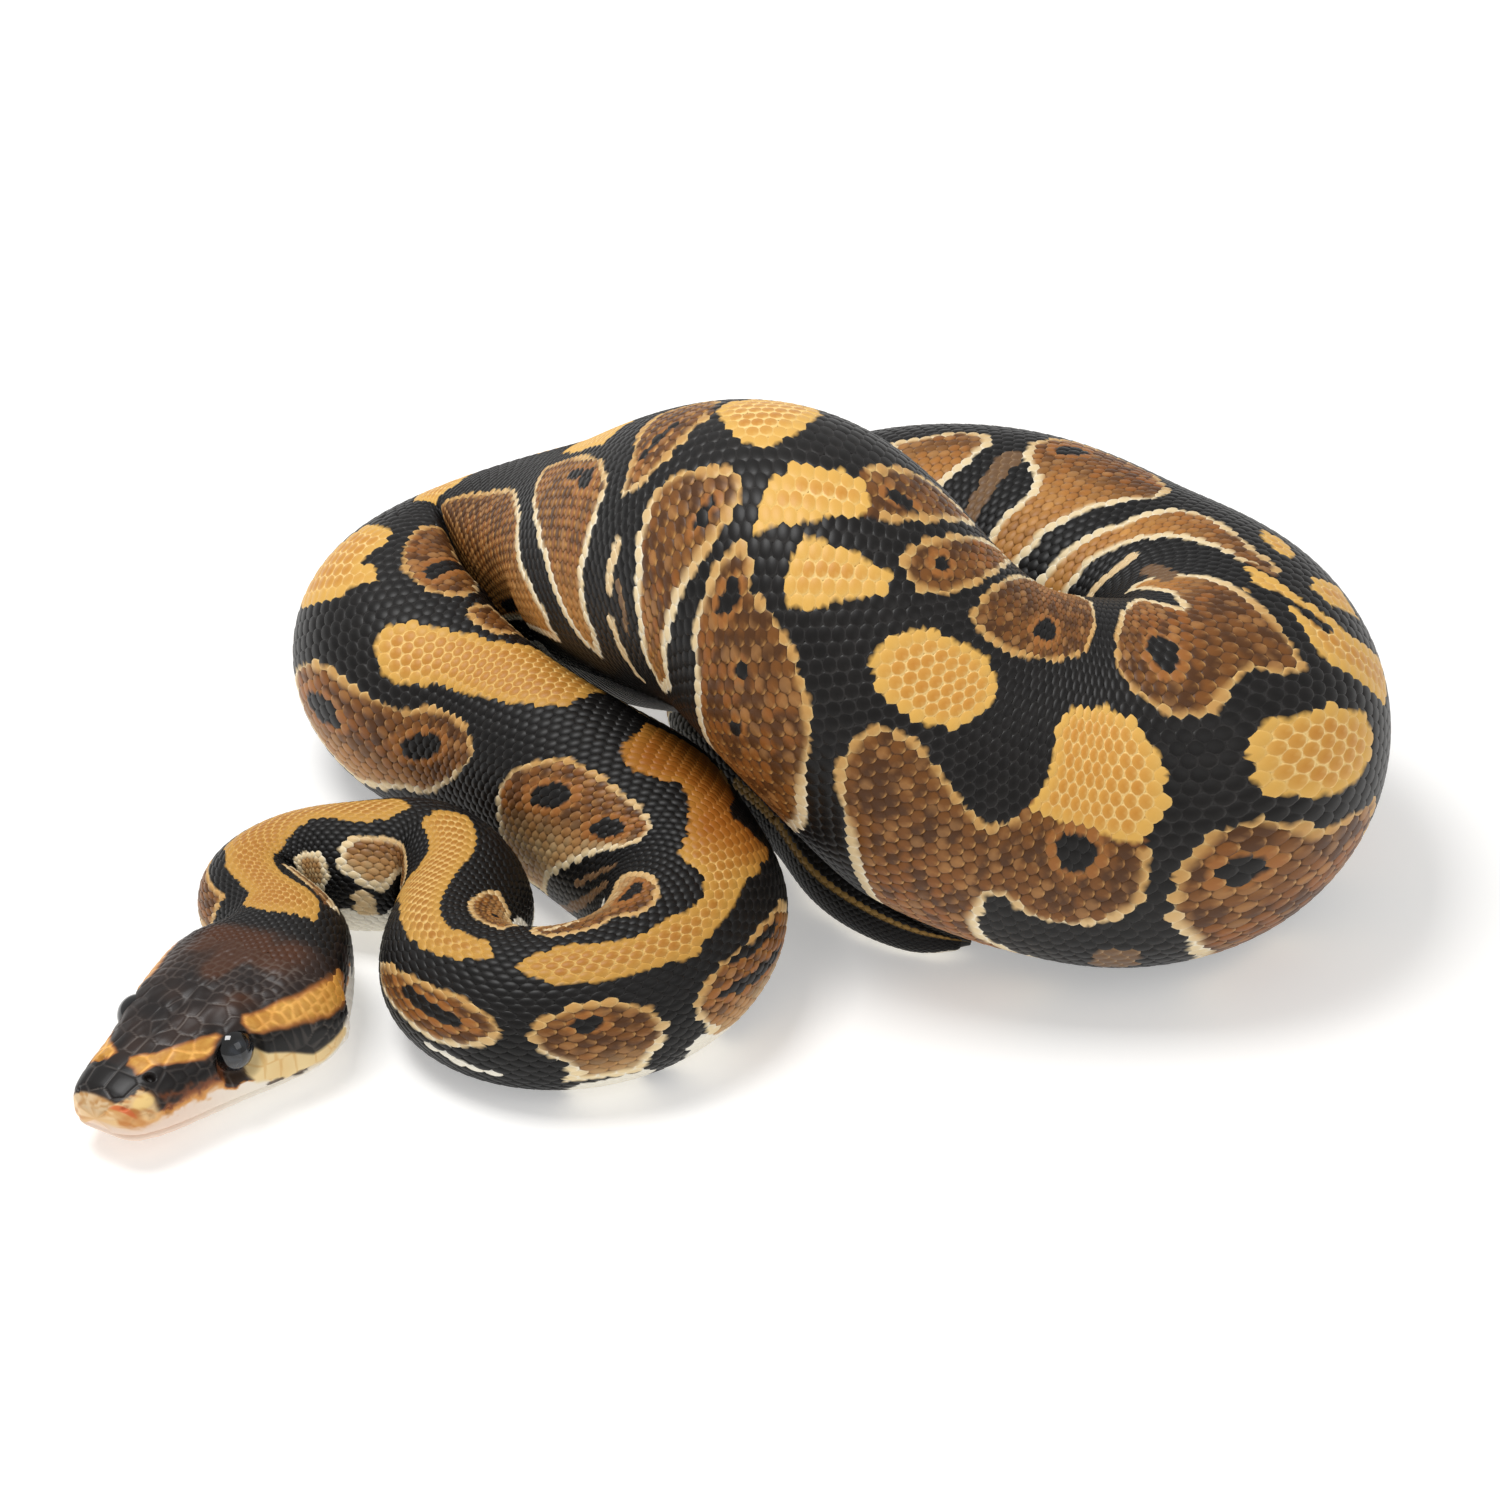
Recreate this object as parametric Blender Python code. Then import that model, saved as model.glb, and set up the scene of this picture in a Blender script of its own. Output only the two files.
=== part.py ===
"""Life-size ball python resting in a loose coil, built from one swept spine.

The spine is a short list of stations.  Every cross-section is pressed flat where
another length of the body, or the floor, is in its way, so no two lengths cross.
"""
from math import cos, pi, radians, sin

import bmesh
import bpy
import numpy as np
from mathutils import Vector

MM = 0.001

# ---- spine stations, in mm: x, y, z, body radius, roll in degrees -------------
# The first six stations are the straight axis of the head, the tip of the snout first.
STATIONS = (
    (-87.4, -64.4, 7.2, 8.0, -3),
    (-82.3, -57.0, 7.6, 8.0, -3),
    (-77.2, -49.5, 8.0, 8.0, -3),
    (-72.1, -42.0, 8.4, 8.4, -3),
    (-67.3, -34.9, 8.9, 8.8, -4),
    (-64.9, -27.6, 9.2, 8.8, -6),
    (-67.6, -20.3, 8.8, 8.3, -15),
    (-70.2, -13.2, 8.4, 8.4, -25),
    (-64.6, -7.0, 8.6, 8.9, -22),
    (-55.0, -6.5, 9.2, 9.7, -15),
    (-46.5, -7.0, 9.4, 10.0, 0),
    (-41.0, -13.0, 9.4, 10.0, 15),
    (-41.0, -24.0, 9.4, 10.0, 25),
    (-41.0, -34.0, 9.8, 10.5, 32),
    (-34.0, -42.0, 10.3, 11.0, 40),
    (-21.0, -42.5, 10.9, 11.6, 40),
    (-11.0, -34.0, 11.6, 12.3, 40),
    (-8.2, -20.4, 12.6, 13.7, 30),
    (-14.8, -7.0, 14.0, 15.4, 5),
    (-23.4, 5.4, 15.4, 16.9, -20),
    (-35.0, 19.0, 16.2, 17.4, -30),
    (-46.5, 30.0, 17.2, 18.3, -30),
    (-50.0, 43.0, 17.6, 18.6, -25),
    (-43.0, 52.5, 18.4, 18.4, -20),
    (-29.5, 49.0, 25.0, 19.0, -17),
    (-16.5, 34.5, 33.8, 21.8, -18),
    (-5.0, 20.0, 43.4, 24.0, -14),
    (6.0, 6.7, 47.6, 24.9, 5),
    (15.5, -3.0, 41.6, 25.0, 33),
    (28.0, -8.3, 32.0, 25.4, 45),
    (44.0, -9.5, 26.0, 26.2, 50),
    (59.5, -6.0, 24.8, 26.2, 55),
    (66.5, 6.5, 24.3, 25.7, 63),
    (64.5, 21.5, 23.8, 25.0, 70),
    (54.5, 34.5, 23.4, 24.4, 68),
    (42.0, 47.5, 23.0, 24.3, 63),
    (28.0, 55.0, 22.0, 23.3, 60),
    (14.0, 56.5, 19.8, 21.0, 50),
    (4.0, 47.5, 16.9, 18.0, 40),
    (2.0, 33.0, 13.8, 15.0, 30),
    (6.0, 19.0, 11.5, 12.3, 20),
    (11.0, 7.0, 8.4, 9.0, 10),
    (13.5, -2.5, 6.0, 6.4, 5),
    (18.5, -9.5, 4.5, 4.9, 0),
    (25.5, -14.0, 3.2, 3.5, 0),
    (33.5, -15.0, 1.9, 2.0, 0),
)

# ---- head profile, in mm: distance behind the snout, half-width, top, underside
HEAD_PROFILE = (
    (0.0, 2.6, 1.4, 1.8),
    (0.5, 4.2, 2.3, 2.7),
    (1.5, 5.6, 3.2, 3.6),
    (3.5, 6.5, 4.1, 4.5),
    (7.0, 7.5, 4.9, 5.5),
    (11.0, 8.3, 5.5, 6.2),
    (15.0, 9.2, 6.2, 6.9),
    (19.0, 10.4, 7.0, 7.3),
    (23.0, 12.0, 7.6, 7.6),
    (27.0, 13.3, 8.0, 7.9),
    (31.0, 14.3, 8.2, 8.3),
    (35.0, 14.1, 8.3, 8.5),
    (38.5, 12.8, 8.3, 8.7),
    (42.0, 11.3, 8.4, 8.7),
    (46.0, 9.5, 8.4, 8.5),
    (50.0, 8.7, 8.4, 8.3),
)
HEAD_END = 42.0
HEAD_BLEND = 52.0
ROOF_POWER = 2.4
FLOOR_POWER = 4.5
BELLY_FLATTENING = 0.05

# ---- the mouth line, in mm below the head axis --------------------------------
MOUTH_LINE = (
    (-3.0, 1.6),
    (1.0, 2.2),
    (5.0, 3.1),
    (10.0, 4.0),
    (17.0, 4.8),
    (25.0, 5.5),
    (31.0, 5.3),
)
MOUTH_GAP = 0.3

# ---- eyes, in mm along, beside and above the head axis ------------------------
EYE_BACK = 19.0
EYE_SIDE = 8.2
EYE_UP = 2.2
EYE_RADIUS = 3.0
EYE_CLEARANCE = 0.2
BROW_HEIGHT = 0.8
BROW_REACH = 4.2

# ---- how the tube is sampled and pressed --------------------------------------
SPINE_STEP = 1.0
SIDES = 28
FACET_LENGTH = 8.5
SHORTEST_RING_STEP = 2.6
LOCAL_REACH = 60.0
NEAREST_NEIGHBOUR = 2.0
CONTACT_GAP = 0.45
PRESS_POWER = 10.0
END_CUT = 0.3
SHARP_ANGLE = radians(55.0)

# ---- where the body is parted, in mm behind the snout -------------------------
LENGTHS = (
    ("neck", 42.0, 92.0),
    ("trunk_01", 92.0, 138.0),
    ("trunk_02", 138.0, 184.0),
    ("trunk_03", 184.0, 230.0),
    ("trunk_04", 230.0, 276.0),
    ("trunk_05", 276.0, 322.0),
    ("trunk_06", 322.0, 366.0),
    ("trunk_07", 366.0, 410.0),
    ("trunk_08", 410.0, 452.0),
    ("trunk_09", 452.0, 496.0),
    ("trunk_10", 496.0, 540.0),
    ("tail", 540.0, 0.0),
)

SKIN_COLOUR = (0.10, 0.065, 0.035, 1.0)
HEAD_COLOUR = (0.035, 0.022, 0.015, 1.0)
JAW_COLOUR = (0.72, 0.62, 0.50, 1.0)
EYE_COLOUR = (0.012, 0.012, 0.014, 1.0)


def cubic_spline(knots, values, where):
    """Natural cubic spline through the rows of values, read at where."""
    knots = np.asarray(knots, float)
    values = np.asarray(values, float)
    count = len(knots)
    gap = np.diff(knots)
    slope = np.diff(values, axis=0) / gap[:, None]
    matrix = np.eye(count)
    right = np.zeros_like(values)
    for i in range(1, count - 1):
        matrix[i, i - 1] = gap[i - 1]
        matrix[i, i] = 2.0 * (gap[i - 1] + gap[i])
        matrix[i, i + 1] = gap[i]
        right[i] = 6.0 * (slope[i] - slope[i - 1])
    bend = np.linalg.solve(matrix, right)
    i = np.clip(np.searchsorted(knots, where) - 1, 0, count - 2)
    u = (where - knots[i])[:, None]
    h = gap[i][:, None]
    steep = slope[i] - h * (2.0 * bend[i] + bend[i + 1]) / 6.0
    return values[i] + u * (steep + u * (bend[i] / 2.0 + u * (bend[i + 1] - bend[i]) / (6.0 * h)))


class Spine:
    """The centre line, its frames and its radius, sampled by distance behind the snout."""

    def __init__(self):
        rows = np.array(STATIONS, float)
        chord = np.linalg.norm(np.diff(rows[:, :3], axis=0), axis=1)
        knots = np.concatenate([[0.0], np.cumsum(chord)])
        fine = np.arange(0.0, knots[-1], 0.1)
        dense = cubic_spline(knots, rows, fine)
        run = np.linalg.norm(np.diff(dense[:, :3], axis=0), axis=1)
        along = np.concatenate([[0.0], np.cumsum(run)])
        self.length = along[-1]
        self.along = np.arange(0.0, self.length, SPINE_STEP)
        sampled = [np.interp(self.along, along, dense[:, k]) for k in range(5)]
        self.centre = np.stack(sampled[:3], axis=1)
        self.radius = sampled[3]
        self.roll = np.radians(sampled[4])
        tangent = np.gradient(self.centre, axis=0)
        self.tangent = tangent / np.linalg.norm(tangent, axis=1)[:, None]
        turn = np.gradient(self.tangent, SPINE_STEP, axis=0)
        self.curvature = np.linalg.norm(turn, axis=1)

    def at(self, distance, field):
        table = getattr(self, field)
        if table.ndim == 1:
            return float(np.interp(distance, self.along, table))
        return np.array([np.interp(distance, self.along, table[:, k]) for k in range(3)])

    def frame(self, distance):
        """Centre, direction towards the tail, dorsal direction and the animal's left."""
        centre = self.at(distance, "centre")
        tangent = self.at(distance, "tangent")
        tangent = tangent / np.linalg.norm(tangent)
        up = np.array([0.0, 0.0, 1.0])
        up = up - tangent * (up @ tangent)
        up = up / np.linalg.norm(up)
        side = np.cross(tangent, up)
        roll = self.at(distance, "roll")
        dorsal = up * cos(roll) + side * sin(roll)
        left = side * cos(roll) - up * sin(roll)
        return centre, tangent, dorsal, left


def profile(distance, column):
    rows = np.array(HEAD_PROFILE)
    return float(np.interp(distance, rows[:, 0], rows[:, column]))


def smooth_step(low, high, value):
    t = min(max((value - low) / (high - low), 0.0), 1.0)
    return t * t * (3.0 - 2.0 * t)


def free_radius(spine, distance, angle):
    """Radius of the free body at an angle measured from the back to the left side."""
    body = spine.at(distance, "radius")
    body = body * (1.0 - BELLY_FLATTENING * max(0.0, -cos(angle)) ** 3)
    if distance >= HEAD_BLEND:
        return body
    width = profile(distance, 1)
    depth = profile(distance, 2 if cos(angle) >= 0.0 else 3)
    power = ROOF_POWER if cos(angle) >= 0.0 else FLOOR_POWER
    sideways = abs(sin(angle)) / width
    upright = abs(cos(angle)) / depth
    head = (sideways ** power + upright ** power) ** (-1.0 / power)
    across = abs(head * sin(angle)) - EYE_SIDE
    above = head * cos(angle) - EYE_UP
    away = ((distance - EYE_BACK) ** 2 + across ** 2 + above ** 2) / BROW_REACH ** 2
    head = head + BROW_HEIGHT * np.exp(-away)
    share = smooth_step(HEAD_END - 6.0, HEAD_BLEND, distance)
    return head * (1.0 - share) + body * share


def free_reach(spine, distance, centre, rays):
    """How far each ray may run before it meets a neighbouring length of the body."""
    radius = spine.at(distance, "radius")
    offset = centre - spine.centre
    gap = np.sum(offset * offset, axis=1)
    apart = np.abs(spine.along - distance)
    near = apart < LOCAL_REACH
    weight = np.where(near, gap, gap + radius ** 2 - spine.radius ** 2)
    weight = np.maximum(weight, 0.05 * gap)
    in_play = (gap > NEAREST_NEIGHBOUR ** 2) & (spine.along > HEAD_BLEND * 0.7)
    facing = -2.0 * rays @ offset.T
    facing[:, ~in_play] = 0.0
    reach = np.where(facing > 1e-6, weight[None, :] / np.maximum(facing, 1e-6), 1e6)
    return reach.min(axis=1)


def ring(spine, distance):
    """One cross-section of the body as a list of points in mm."""
    centre, tangent, dorsal, left = spine.frame(distance)
    angles = [2.0 * pi * k / SIDES for k in range(SIDES)]
    rays = np.array([dorsal * cos(a) + left * sin(a) for a in angles])
    free = np.array([free_radius(spine, distance, a) for a in angles])
    if distance > HEAD_END - 6.0:
        reach = np.maximum(free_reach(spine, distance, centre, rays) - CONTACT_GAP, 0.3)
        free = (free ** -PRESS_POWER + reach ** -PRESS_POWER) ** (-1.0 / PRESS_POWER)
    points = centre + rays * free[:, None]
    points[:, 2] = np.maximum(points[:, 2], 0.0)
    return points


def ring_places(spine, start, end):
    """Distances for the rings of one length, closer together round a bend."""
    places = [start]
    while True:
        here = places[-1]
        stretch = 1.0 + spine.at(here, "curvature") * spine.at(here, "radius")
        step = max(FACET_LENGTH / stretch, SHORTEST_RING_STEP)
        if here + 1.5 * step > end:
            break
        places.append(here + step)
    places.append(end)
    return places


def loft(name, rings, material, offset, tip_push=(0.0, 0.0)):
    """A closed solid from a stack of rings, each end filled from a middle point."""
    mesh = bmesh.new()
    rows = []
    for points in rings:
        rows.append([mesh.verts.new(Vector((p - offset) * MM)) for p in points])
    count = len(rows[0])
    for low, high in zip(rows, rows[1:]):
        for k in range(count):
            n = (k + 1) % count
            mesh.faces.new((low[k], low[n], high[n], high[k]))
    for row, flip, push in ((rows[0], True, tip_push[0]), (rows[-1], False, tip_push[1])):
        middle = sum((v.co for v in row), Vector()) / count
        normal = (row[count // 3].co - row[0].co).cross(row[2 * count // 3].co - row[0].co)
        centre = mesh.verts.new(middle + normal.normalized() * push * MM)
        for k in range(count):
            n = (k + 1) % count
            pair = (row[n], row[k], centre) if flip else (row[k], row[n], centre)
            mesh.faces.new(pair)
    bmesh.ops.triangulate(mesh, faces=mesh.faces[:])
    bmesh.ops.recalc_face_normals(mesh, faces=mesh.faces[:])
    return finish(name, mesh, material)


def finish(name, mesh, material):
    """A smooth-shaded object from a bmesh, linked to the scene."""
    data = bpy.data.meshes.new(name)
    mesh.to_mesh(data)
    mesh.free()
    data.materials.append(material)
    soften(data)
    piece = bpy.data.objects.new(name, data)
    bpy.context.scene.collection.objects.link(piece)
    return piece


def soften(data):
    data.shade_smooth()
    data.set_sharp_from_angle(angle=SHARP_ANGLE)


def plain_material(name, colour, roughness):
    material = bpy.data.materials.new(name)
    material.use_nodes = True
    shader = material.node_tree.nodes["Principled BSDF"]
    shader.inputs["Base Color"].default_value = colour
    shader.inputs["Roughness"].default_value = roughness
    return material


def head_point(spine, back, side, up, offset):
    """A place given along, beside and above the head axis, in metres."""
    centre, tangent, dorsal, left = spine.frame(back)
    return Vector((centre + left * side + dorsal * up - offset) * MM)


def mouth_cutter(spine, offset, rise, end_push):
    """A block filling everything below the mouth line, as far back as its corner."""
    centre, tangent, dorsal, left = spine.frame(10.0)
    origin = centre - tangent * 10.0
    outline = [(x, -z + rise) for x, z in MOUTH_LINE]
    outline[-1] = (outline[-1][0] + end_push, outline[-1][1])
    outline.append((outline[-1][0], -30.0))
    outline.append((outline[0][0], -30.0))
    mesh = bmesh.new()
    rows = []
    for side in (-30.0, 30.0):
        rows.append([mesh.verts.new(Vector((origin + tangent * x + dorsal * z + left * side
                                            - offset) * MM)) for x, z in outline])
    count = len(outline)
    mesh.faces.new(rows[0])
    mesh.faces.new(list(reversed(rows[1])))
    for k in range(count):
        n = (k + 1) % count
        mesh.faces.new((rows[0][n], rows[0][k], rows[1][k], rows[1][n]))
    bmesh.ops.recalc_face_normals(mesh, faces=mesh.faces[:])
    return finish("cutter", mesh, bpy.data.materials[0])


def cut(piece, tool, operation):
    """Apply one boolean and drop the tool."""
    modifier = piece.modifiers.new("cut", "BOOLEAN")
    modifier.operation = operation
    modifier.solver = "EXACT"
    modifier.object = tool
    graph = bpy.context.evaluated_depsgraph_get()
    data = bpy.data.meshes.new_from_object(piece.evaluated_get(graph))
    piece.modifiers.clear()
    data.name = piece.name
    piece.data = data
    bpy.data.objects.remove(tool, do_unlink=True)


def ball(name, place, radius, material, segments=20, rows=14):
    """A sphere about its own origin, set at its place."""
    mesh = bmesh.new()
    bmesh.ops.create_uvsphere(mesh, u_segments=segments, v_segments=rows, radius=radius * MM)
    bmesh.ops.triangulate(mesh, faces=mesh.faces[:])
    piece = finish(name, mesh, material)
    piece.location = place
    return piece


def triangulated(piece):
    mesh = bmesh.new()
    mesh.from_mesh(piece.data)
    bmesh.ops.dissolve_degenerate(mesh, dist=0.00001, edges=mesh.edges[:])
    bmesh.ops.triangulate(mesh, faces=mesh.faces[:])
    bmesh.ops.recalc_face_normals(mesh, faces=mesh.faces[:])
    mesh.to_mesh(piece.data)
    mesh.free()
    soften(piece.data)


def bottom_centre(spine):
    """The point under the middle of the whole coil, in mm."""
    places = np.arange(0.0, spine.length, 3.0)
    cloud = np.concatenate([ring(spine, distance) for distance in places])
    middle = (cloud.min(axis=0) + cloud.max(axis=0)) / 2.0
    return np.array([middle[0], middle[1], 0.0])


def build():
    for piece in list(bpy.data.objects):
        bpy.data.objects.remove(piece, do_unlink=True)
    spine = Spine()
    offset = bottom_centre(spine)
    pieces = []

    head_places = [row[0] for row in HEAD_PROFILE if row[0] < HEAD_END] + [HEAD_END - END_CUT]
    head_rings = [ring(spine, d) for d in head_places]
    crown = plain_material("crown_skin", HEAD_COLOUR, 0.4)
    head = loft("head", head_rings, crown, offset, (0.4, 0.0))
    jaw_skin = plain_material("jaw_skin", JAW_COLOUR, 0.45)
    jaw = loft("lower_jaw", head_rings, jaw_skin, offset, (0.4, 0.0))
    cut(jaw, mouth_cutter(spine, offset, 0.0, 0.0), "INTERSECT")
    cut(head, mouth_cutter(spine, offset, MOUTH_GAP, MOUTH_GAP), "DIFFERENCE")
    for name, side in (("eye_left", 1.0), ("eye_right", -1.0)):
        place = head_point(spine, EYE_BACK, EYE_SIDE * side, EYE_UP, offset)
        socket = ball("socket", place, EYE_RADIUS + EYE_CLEARANCE, crown)
        cut(head, socket, "DIFFERENCE")
        glass = plain_material(name + "_cornea", EYE_COLOUR, 0.05)
        pieces.append(ball(name, place, EYE_RADIUS, glass, 16, 10))
    triangulated(head)
    triangulated(jaw)
    pieces.extend([head, jaw])

    for name, start, end in LENGTHS:
        last = end - END_CUT / 2.0 if end else spine.length - 1.5
        first = start + END_CUT / 2.0
        places = ring_places(spine, first, last)
        material = plain_material(name + "_skin", SKIN_COLOUR, 0.45)
        rings = [ring(spine, d) for d in places]
        tip = (0.0, 0.0) if end else (0.0, 1.2)
        pieces.append(loft(name, rings, material, offset, tip))

    group = bpy.data.collections.new("ball_python")
    bpy.context.scene.collection.children.link(group)
    root = bpy.data.objects.new("ball_python_root", None)
    group.objects.link(root)
    for piece in pieces:
        bpy.context.scene.collection.objects.unlink(piece)
        group.objects.link(piece)
        piece.parent = root
    return group


build()
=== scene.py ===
"""Looks of the coiled ball python: one skin, overlapping scales, belly scutes and eyes."""

from math import cos, pi, radians, sin

import bpy
import numpy as np
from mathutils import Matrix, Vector


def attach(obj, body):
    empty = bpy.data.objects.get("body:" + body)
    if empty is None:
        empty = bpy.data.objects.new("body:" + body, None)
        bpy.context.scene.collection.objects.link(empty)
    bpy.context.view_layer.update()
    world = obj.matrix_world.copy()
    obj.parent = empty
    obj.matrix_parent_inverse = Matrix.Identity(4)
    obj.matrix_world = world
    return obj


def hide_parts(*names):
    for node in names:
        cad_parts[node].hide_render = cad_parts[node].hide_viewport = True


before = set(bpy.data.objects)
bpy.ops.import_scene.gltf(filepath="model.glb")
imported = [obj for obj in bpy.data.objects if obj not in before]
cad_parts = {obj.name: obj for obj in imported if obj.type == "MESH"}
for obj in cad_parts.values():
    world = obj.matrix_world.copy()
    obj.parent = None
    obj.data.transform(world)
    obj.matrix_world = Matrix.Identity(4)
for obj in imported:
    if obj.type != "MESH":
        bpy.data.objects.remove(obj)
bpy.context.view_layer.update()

# One mm in Blender's metres.
MM = 0.001

# ---- spine stations, in mm: x, y, z, body radius, roll in degrees ----
STATIONS = (
    (-87.4, -64.4, 7.2, 8.0, -3),
    (-82.3, -57.0, 7.6, 8.0, -3),
    (-77.2, -49.5, 8.0, 8.0, -3),
    (-72.1, -42.0, 8.4, 8.4, -3),
    (-67.3, -34.9, 8.9, 8.8, -4),
    (-64.9, -27.6, 9.2, 8.8, -6),
    (-67.6, -20.3, 8.8, 8.3, -15),
    (-70.2, -13.2, 8.4, 8.4, -25),
    (-64.6, -7.0, 8.6, 8.9, -22),
    (-55.0, -6.5, 9.2, 9.7, -15),
    (-46.5, -7.0, 9.4, 10.0, 0),
    (-41.0, -13.0, 9.4, 10.0, 15),
    (-41.0, -24.0, 9.4, 10.0, 25),
    (-41.0, -34.0, 9.8, 10.5, 32),
    (-34.0, -42.0, 10.3, 11.0, 40),
    (-21.0, -42.5, 10.9, 11.6, 40),
    (-11.0, -34.0, 11.6, 12.3, 40),
    (-8.2, -20.4, 12.6, 13.7, 30),
    (-14.8, -7.0, 14.0, 15.4, 5),
    (-23.4, 5.4, 15.4, 16.9, -20),
    (-35.0, 19.0, 16.2, 17.4, -30),
    (-46.5, 30.0, 17.2, 18.3, -30),
    (-50.0, 43.0, 17.6, 18.6, -25),
    (-43.0, 52.5, 18.4, 18.4, -20),
    (-29.5, 49.0, 25.0, 19.0, -17),
    (-16.5, 34.5, 33.8, 21.8, -18),
    (-5.0, 20.0, 43.4, 24.0, -14),
    (6.0, 6.7, 47.6, 24.9, 5),
    (15.5, -3.0, 41.6, 25.0, 33),
    (28.0, -8.3, 32.0, 25.4, 45),
    (44.0, -9.5, 26.0, 26.2, 50),
    (59.5, -6.0, 24.8, 26.2, 55),
    (66.5, 6.5, 24.3, 25.7, 63),
    (64.5, 21.5, 23.8, 25.0, 70),
    (54.5, 34.5, 23.4, 24.4, 68),
    (42.0, 47.5, 23.0, 24.3, 63),
    (28.0, 55.0, 22.0, 23.3, 60),
    (14.0, 56.5, 19.8, 21.0, 50),
    (4.0, 47.5, 16.9, 18.0, 40),
    (2.0, 33.0, 13.8, 15.0, 30),
    (6.0, 19.0, 11.5, 12.3, 20),
    (11.0, 7.0, 8.4, 9.0, 10),
    (13.5, -2.5, 6.0, 6.4, 5),
    (18.5, -9.5, 4.5, 4.9, 0),
    (25.5, -14.0, 3.2, 3.5, 0),
    (33.5, -15.0, 1.9, 2.0, 0),
)

# ---- head profile, in mm: distance behind the snout, half-width, top, underside
HEAD_PROFILE = (
    (0.0, 2.6, 1.4, 1.8),
    (0.5, 4.2, 2.3, 2.7),
    (1.5, 5.6, 3.2, 3.6),
    (3.5, 6.5, 4.1, 4.5),
    (7.0, 7.5, 4.9, 5.5),
    (11.0, 8.3, 5.5, 6.2),
    (15.0, 9.2, 6.2, 6.9),
    (19.0, 10.4, 7.0, 7.3),
    (23.0, 12.0, 7.6, 7.6),
    (27.0, 13.3, 8.0, 7.9),
    (31.0, 14.3, 8.2, 8.3),
    (35.0, 14.1, 8.3, 8.5),
    (38.5, 12.8, 8.3, 8.7),
    (42.0, 11.3, 8.4, 8.7),
    (46.0, 9.5, 8.4, 8.5),
    (50.0, 8.7, 8.4, 8.3),
)
HEAD_END = 42.0
# The head's profile turns into the body's round section between these distances.
BLEND_START = 36.0
HEAD_BLEND = 52.0
ROOF_POWER = 2.4
FLOOR_POWER = 4.5
BELLY_FLATTENING = 0.05

# ---- the mouth line, in mm below the head axis ----
MOUTH_LINE = ((-3.0, 1.6), (1.0, 2.2), (5.0, 3.1), (10.0, 4.0), (17.0, 4.8), (25.0, 5.5),
              (31.0, 5.3))
# Distance of the corner of the mouth behind the snout.
MOUTH_CORNER = 30.0

# ---- eyes, in mm along, beside and above the head axis ----
EYE_BACK = 19.0
EYE_SIDE = 8.2
EYE_UP = 2.2
EYE_RADIUS = 3.0
# How far each eye is turned towards the snout.
EYE_FORWARD = radians(15.0)
BROW_HEIGHT = 0.8
BROW_REACH = 4.2
RIM_DEPTH = 0.75
RIM_INNER = 3.0
RIM_OUTER = 4.4
SOCKET_DEPTH = 1.2

# ---- how the surface is sampled and pressed ----
SPLINE_STEP = 0.1
SPINE_STEP = 1.0
GRID_STEP = 0.5
GRID_ANGLE = 3.0
LOCAL_REACH = 60.0
NEAREST_NEIGHBOUR = 2.0
CONTACT_GAP = 0.45
PRESS_POWER = 10.0
LEAST_REACH = 0.3
LEAST_WEIGHT = 0.05
# The body presses on its neighbours from here on, the head doesn't.
PRESSING_START = HEAD_BLEND * 0.7
FAR_REACH = 1e6
TINY = 1e-9
LEAST_FACING = 1e-6
TAIL_CUT = 1.5
# The coarse grid that the middle of the coil is read from.
CENTRE_STEP = 3.0
CENTRE_COLUMNS = 28

# ---- skin and scales, depths and lengths in mm ----
SKIN_DEPTH = 0.50
HEAD_SKIN_DEPTH = 0.04
# Degrees of the body's round that the scales cover, the belly scutes take the rest.
SCALE_SPAN = 284.0
SCALE_START = 33.0
# The lowest that each layer may come to the floor.
SKIN_FLOOR = 0.05
SCALE_FLOOR = 0.02
SCUTE_FLOOR = 0.01
# Rows of scales round the back, by zone: start, end, rows.
ROW_ZONES = ((33.0, 251.0, 55), (251.0, 505.0, 73), (505.0, 552.0, 57), (552.0, 600.0, 39))
# Sizes of a scale's inner rings as shares of its outline.
RIM_SHARE = 0.86
INNER_SHARE = 0.68
# Corners of one scale's outline.
OUTLINE = 10
OUTLINE_POWER = 1.8
# Share of a scale's size over which it picks up the markings.
MARK_SHARPNESS = 0.5
# Half the size of a scale, in pitches along and in row steps across.
HALF_LENGTH = 0.60
HALF_WIDTH = 0.80
# Where one joined piece of scales ends and the next starts.
COAT_PIECES = (33.0, 105.0, 178.0, 251.0, 310.0, 363.0, 420.0, 475.0, 530.0, 600.0)
TIP_TAPER = 9.0
SEED = 41
NOISE_SIZE = 64

# ---- colours, sRGB 0-255 ----
GOLD_CENTRE = (203, 138, 55)
GOLD_BODY = (226, 176, 88)
GOLD_RIM = (252, 220, 150)
CREAM_EDGE = (222, 184, 120)
EDGE_TAN = (198, 150, 86)
# Black ground: the top lighter and the sides darker as painted light and shade, and the rims lighter as a
# painted sheen.
BLACK_LIT_TOP = (23, 21, 20)
BLACK_SHEEN_RIM = (46, 44, 43)
BLACK_SHADED_SIDE = (17, 16, 16)
BLACK_SHADED_SHEEN_RIM = (34, 33, 32)
BROWN_BODY = (124, 78, 36)
BROWN_WARM = (162, 96, 38)
BROWN_RIM = (74, 46, 25)
# Pale tips of the brown scales, partly their own colour and partly a painted highlight.
BROWN_PALE_TIP_AND_GLINT = (212, 162, 96)
BELLY = (240, 234, 218)
EDGE_TAN_LOW = (234, 210, 164)
CREAM_EDGE_LOW = (248, 238, 214)
BROWN_FLECK = (190, 140, 86)
PALE_LOW_REAR = (214, 152, 78)
PALE_LOW_FRONT = (232, 202, 150)
BELLY_RIM = (250, 246, 236)
BELLY_TIP = (236, 226, 204)
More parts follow.
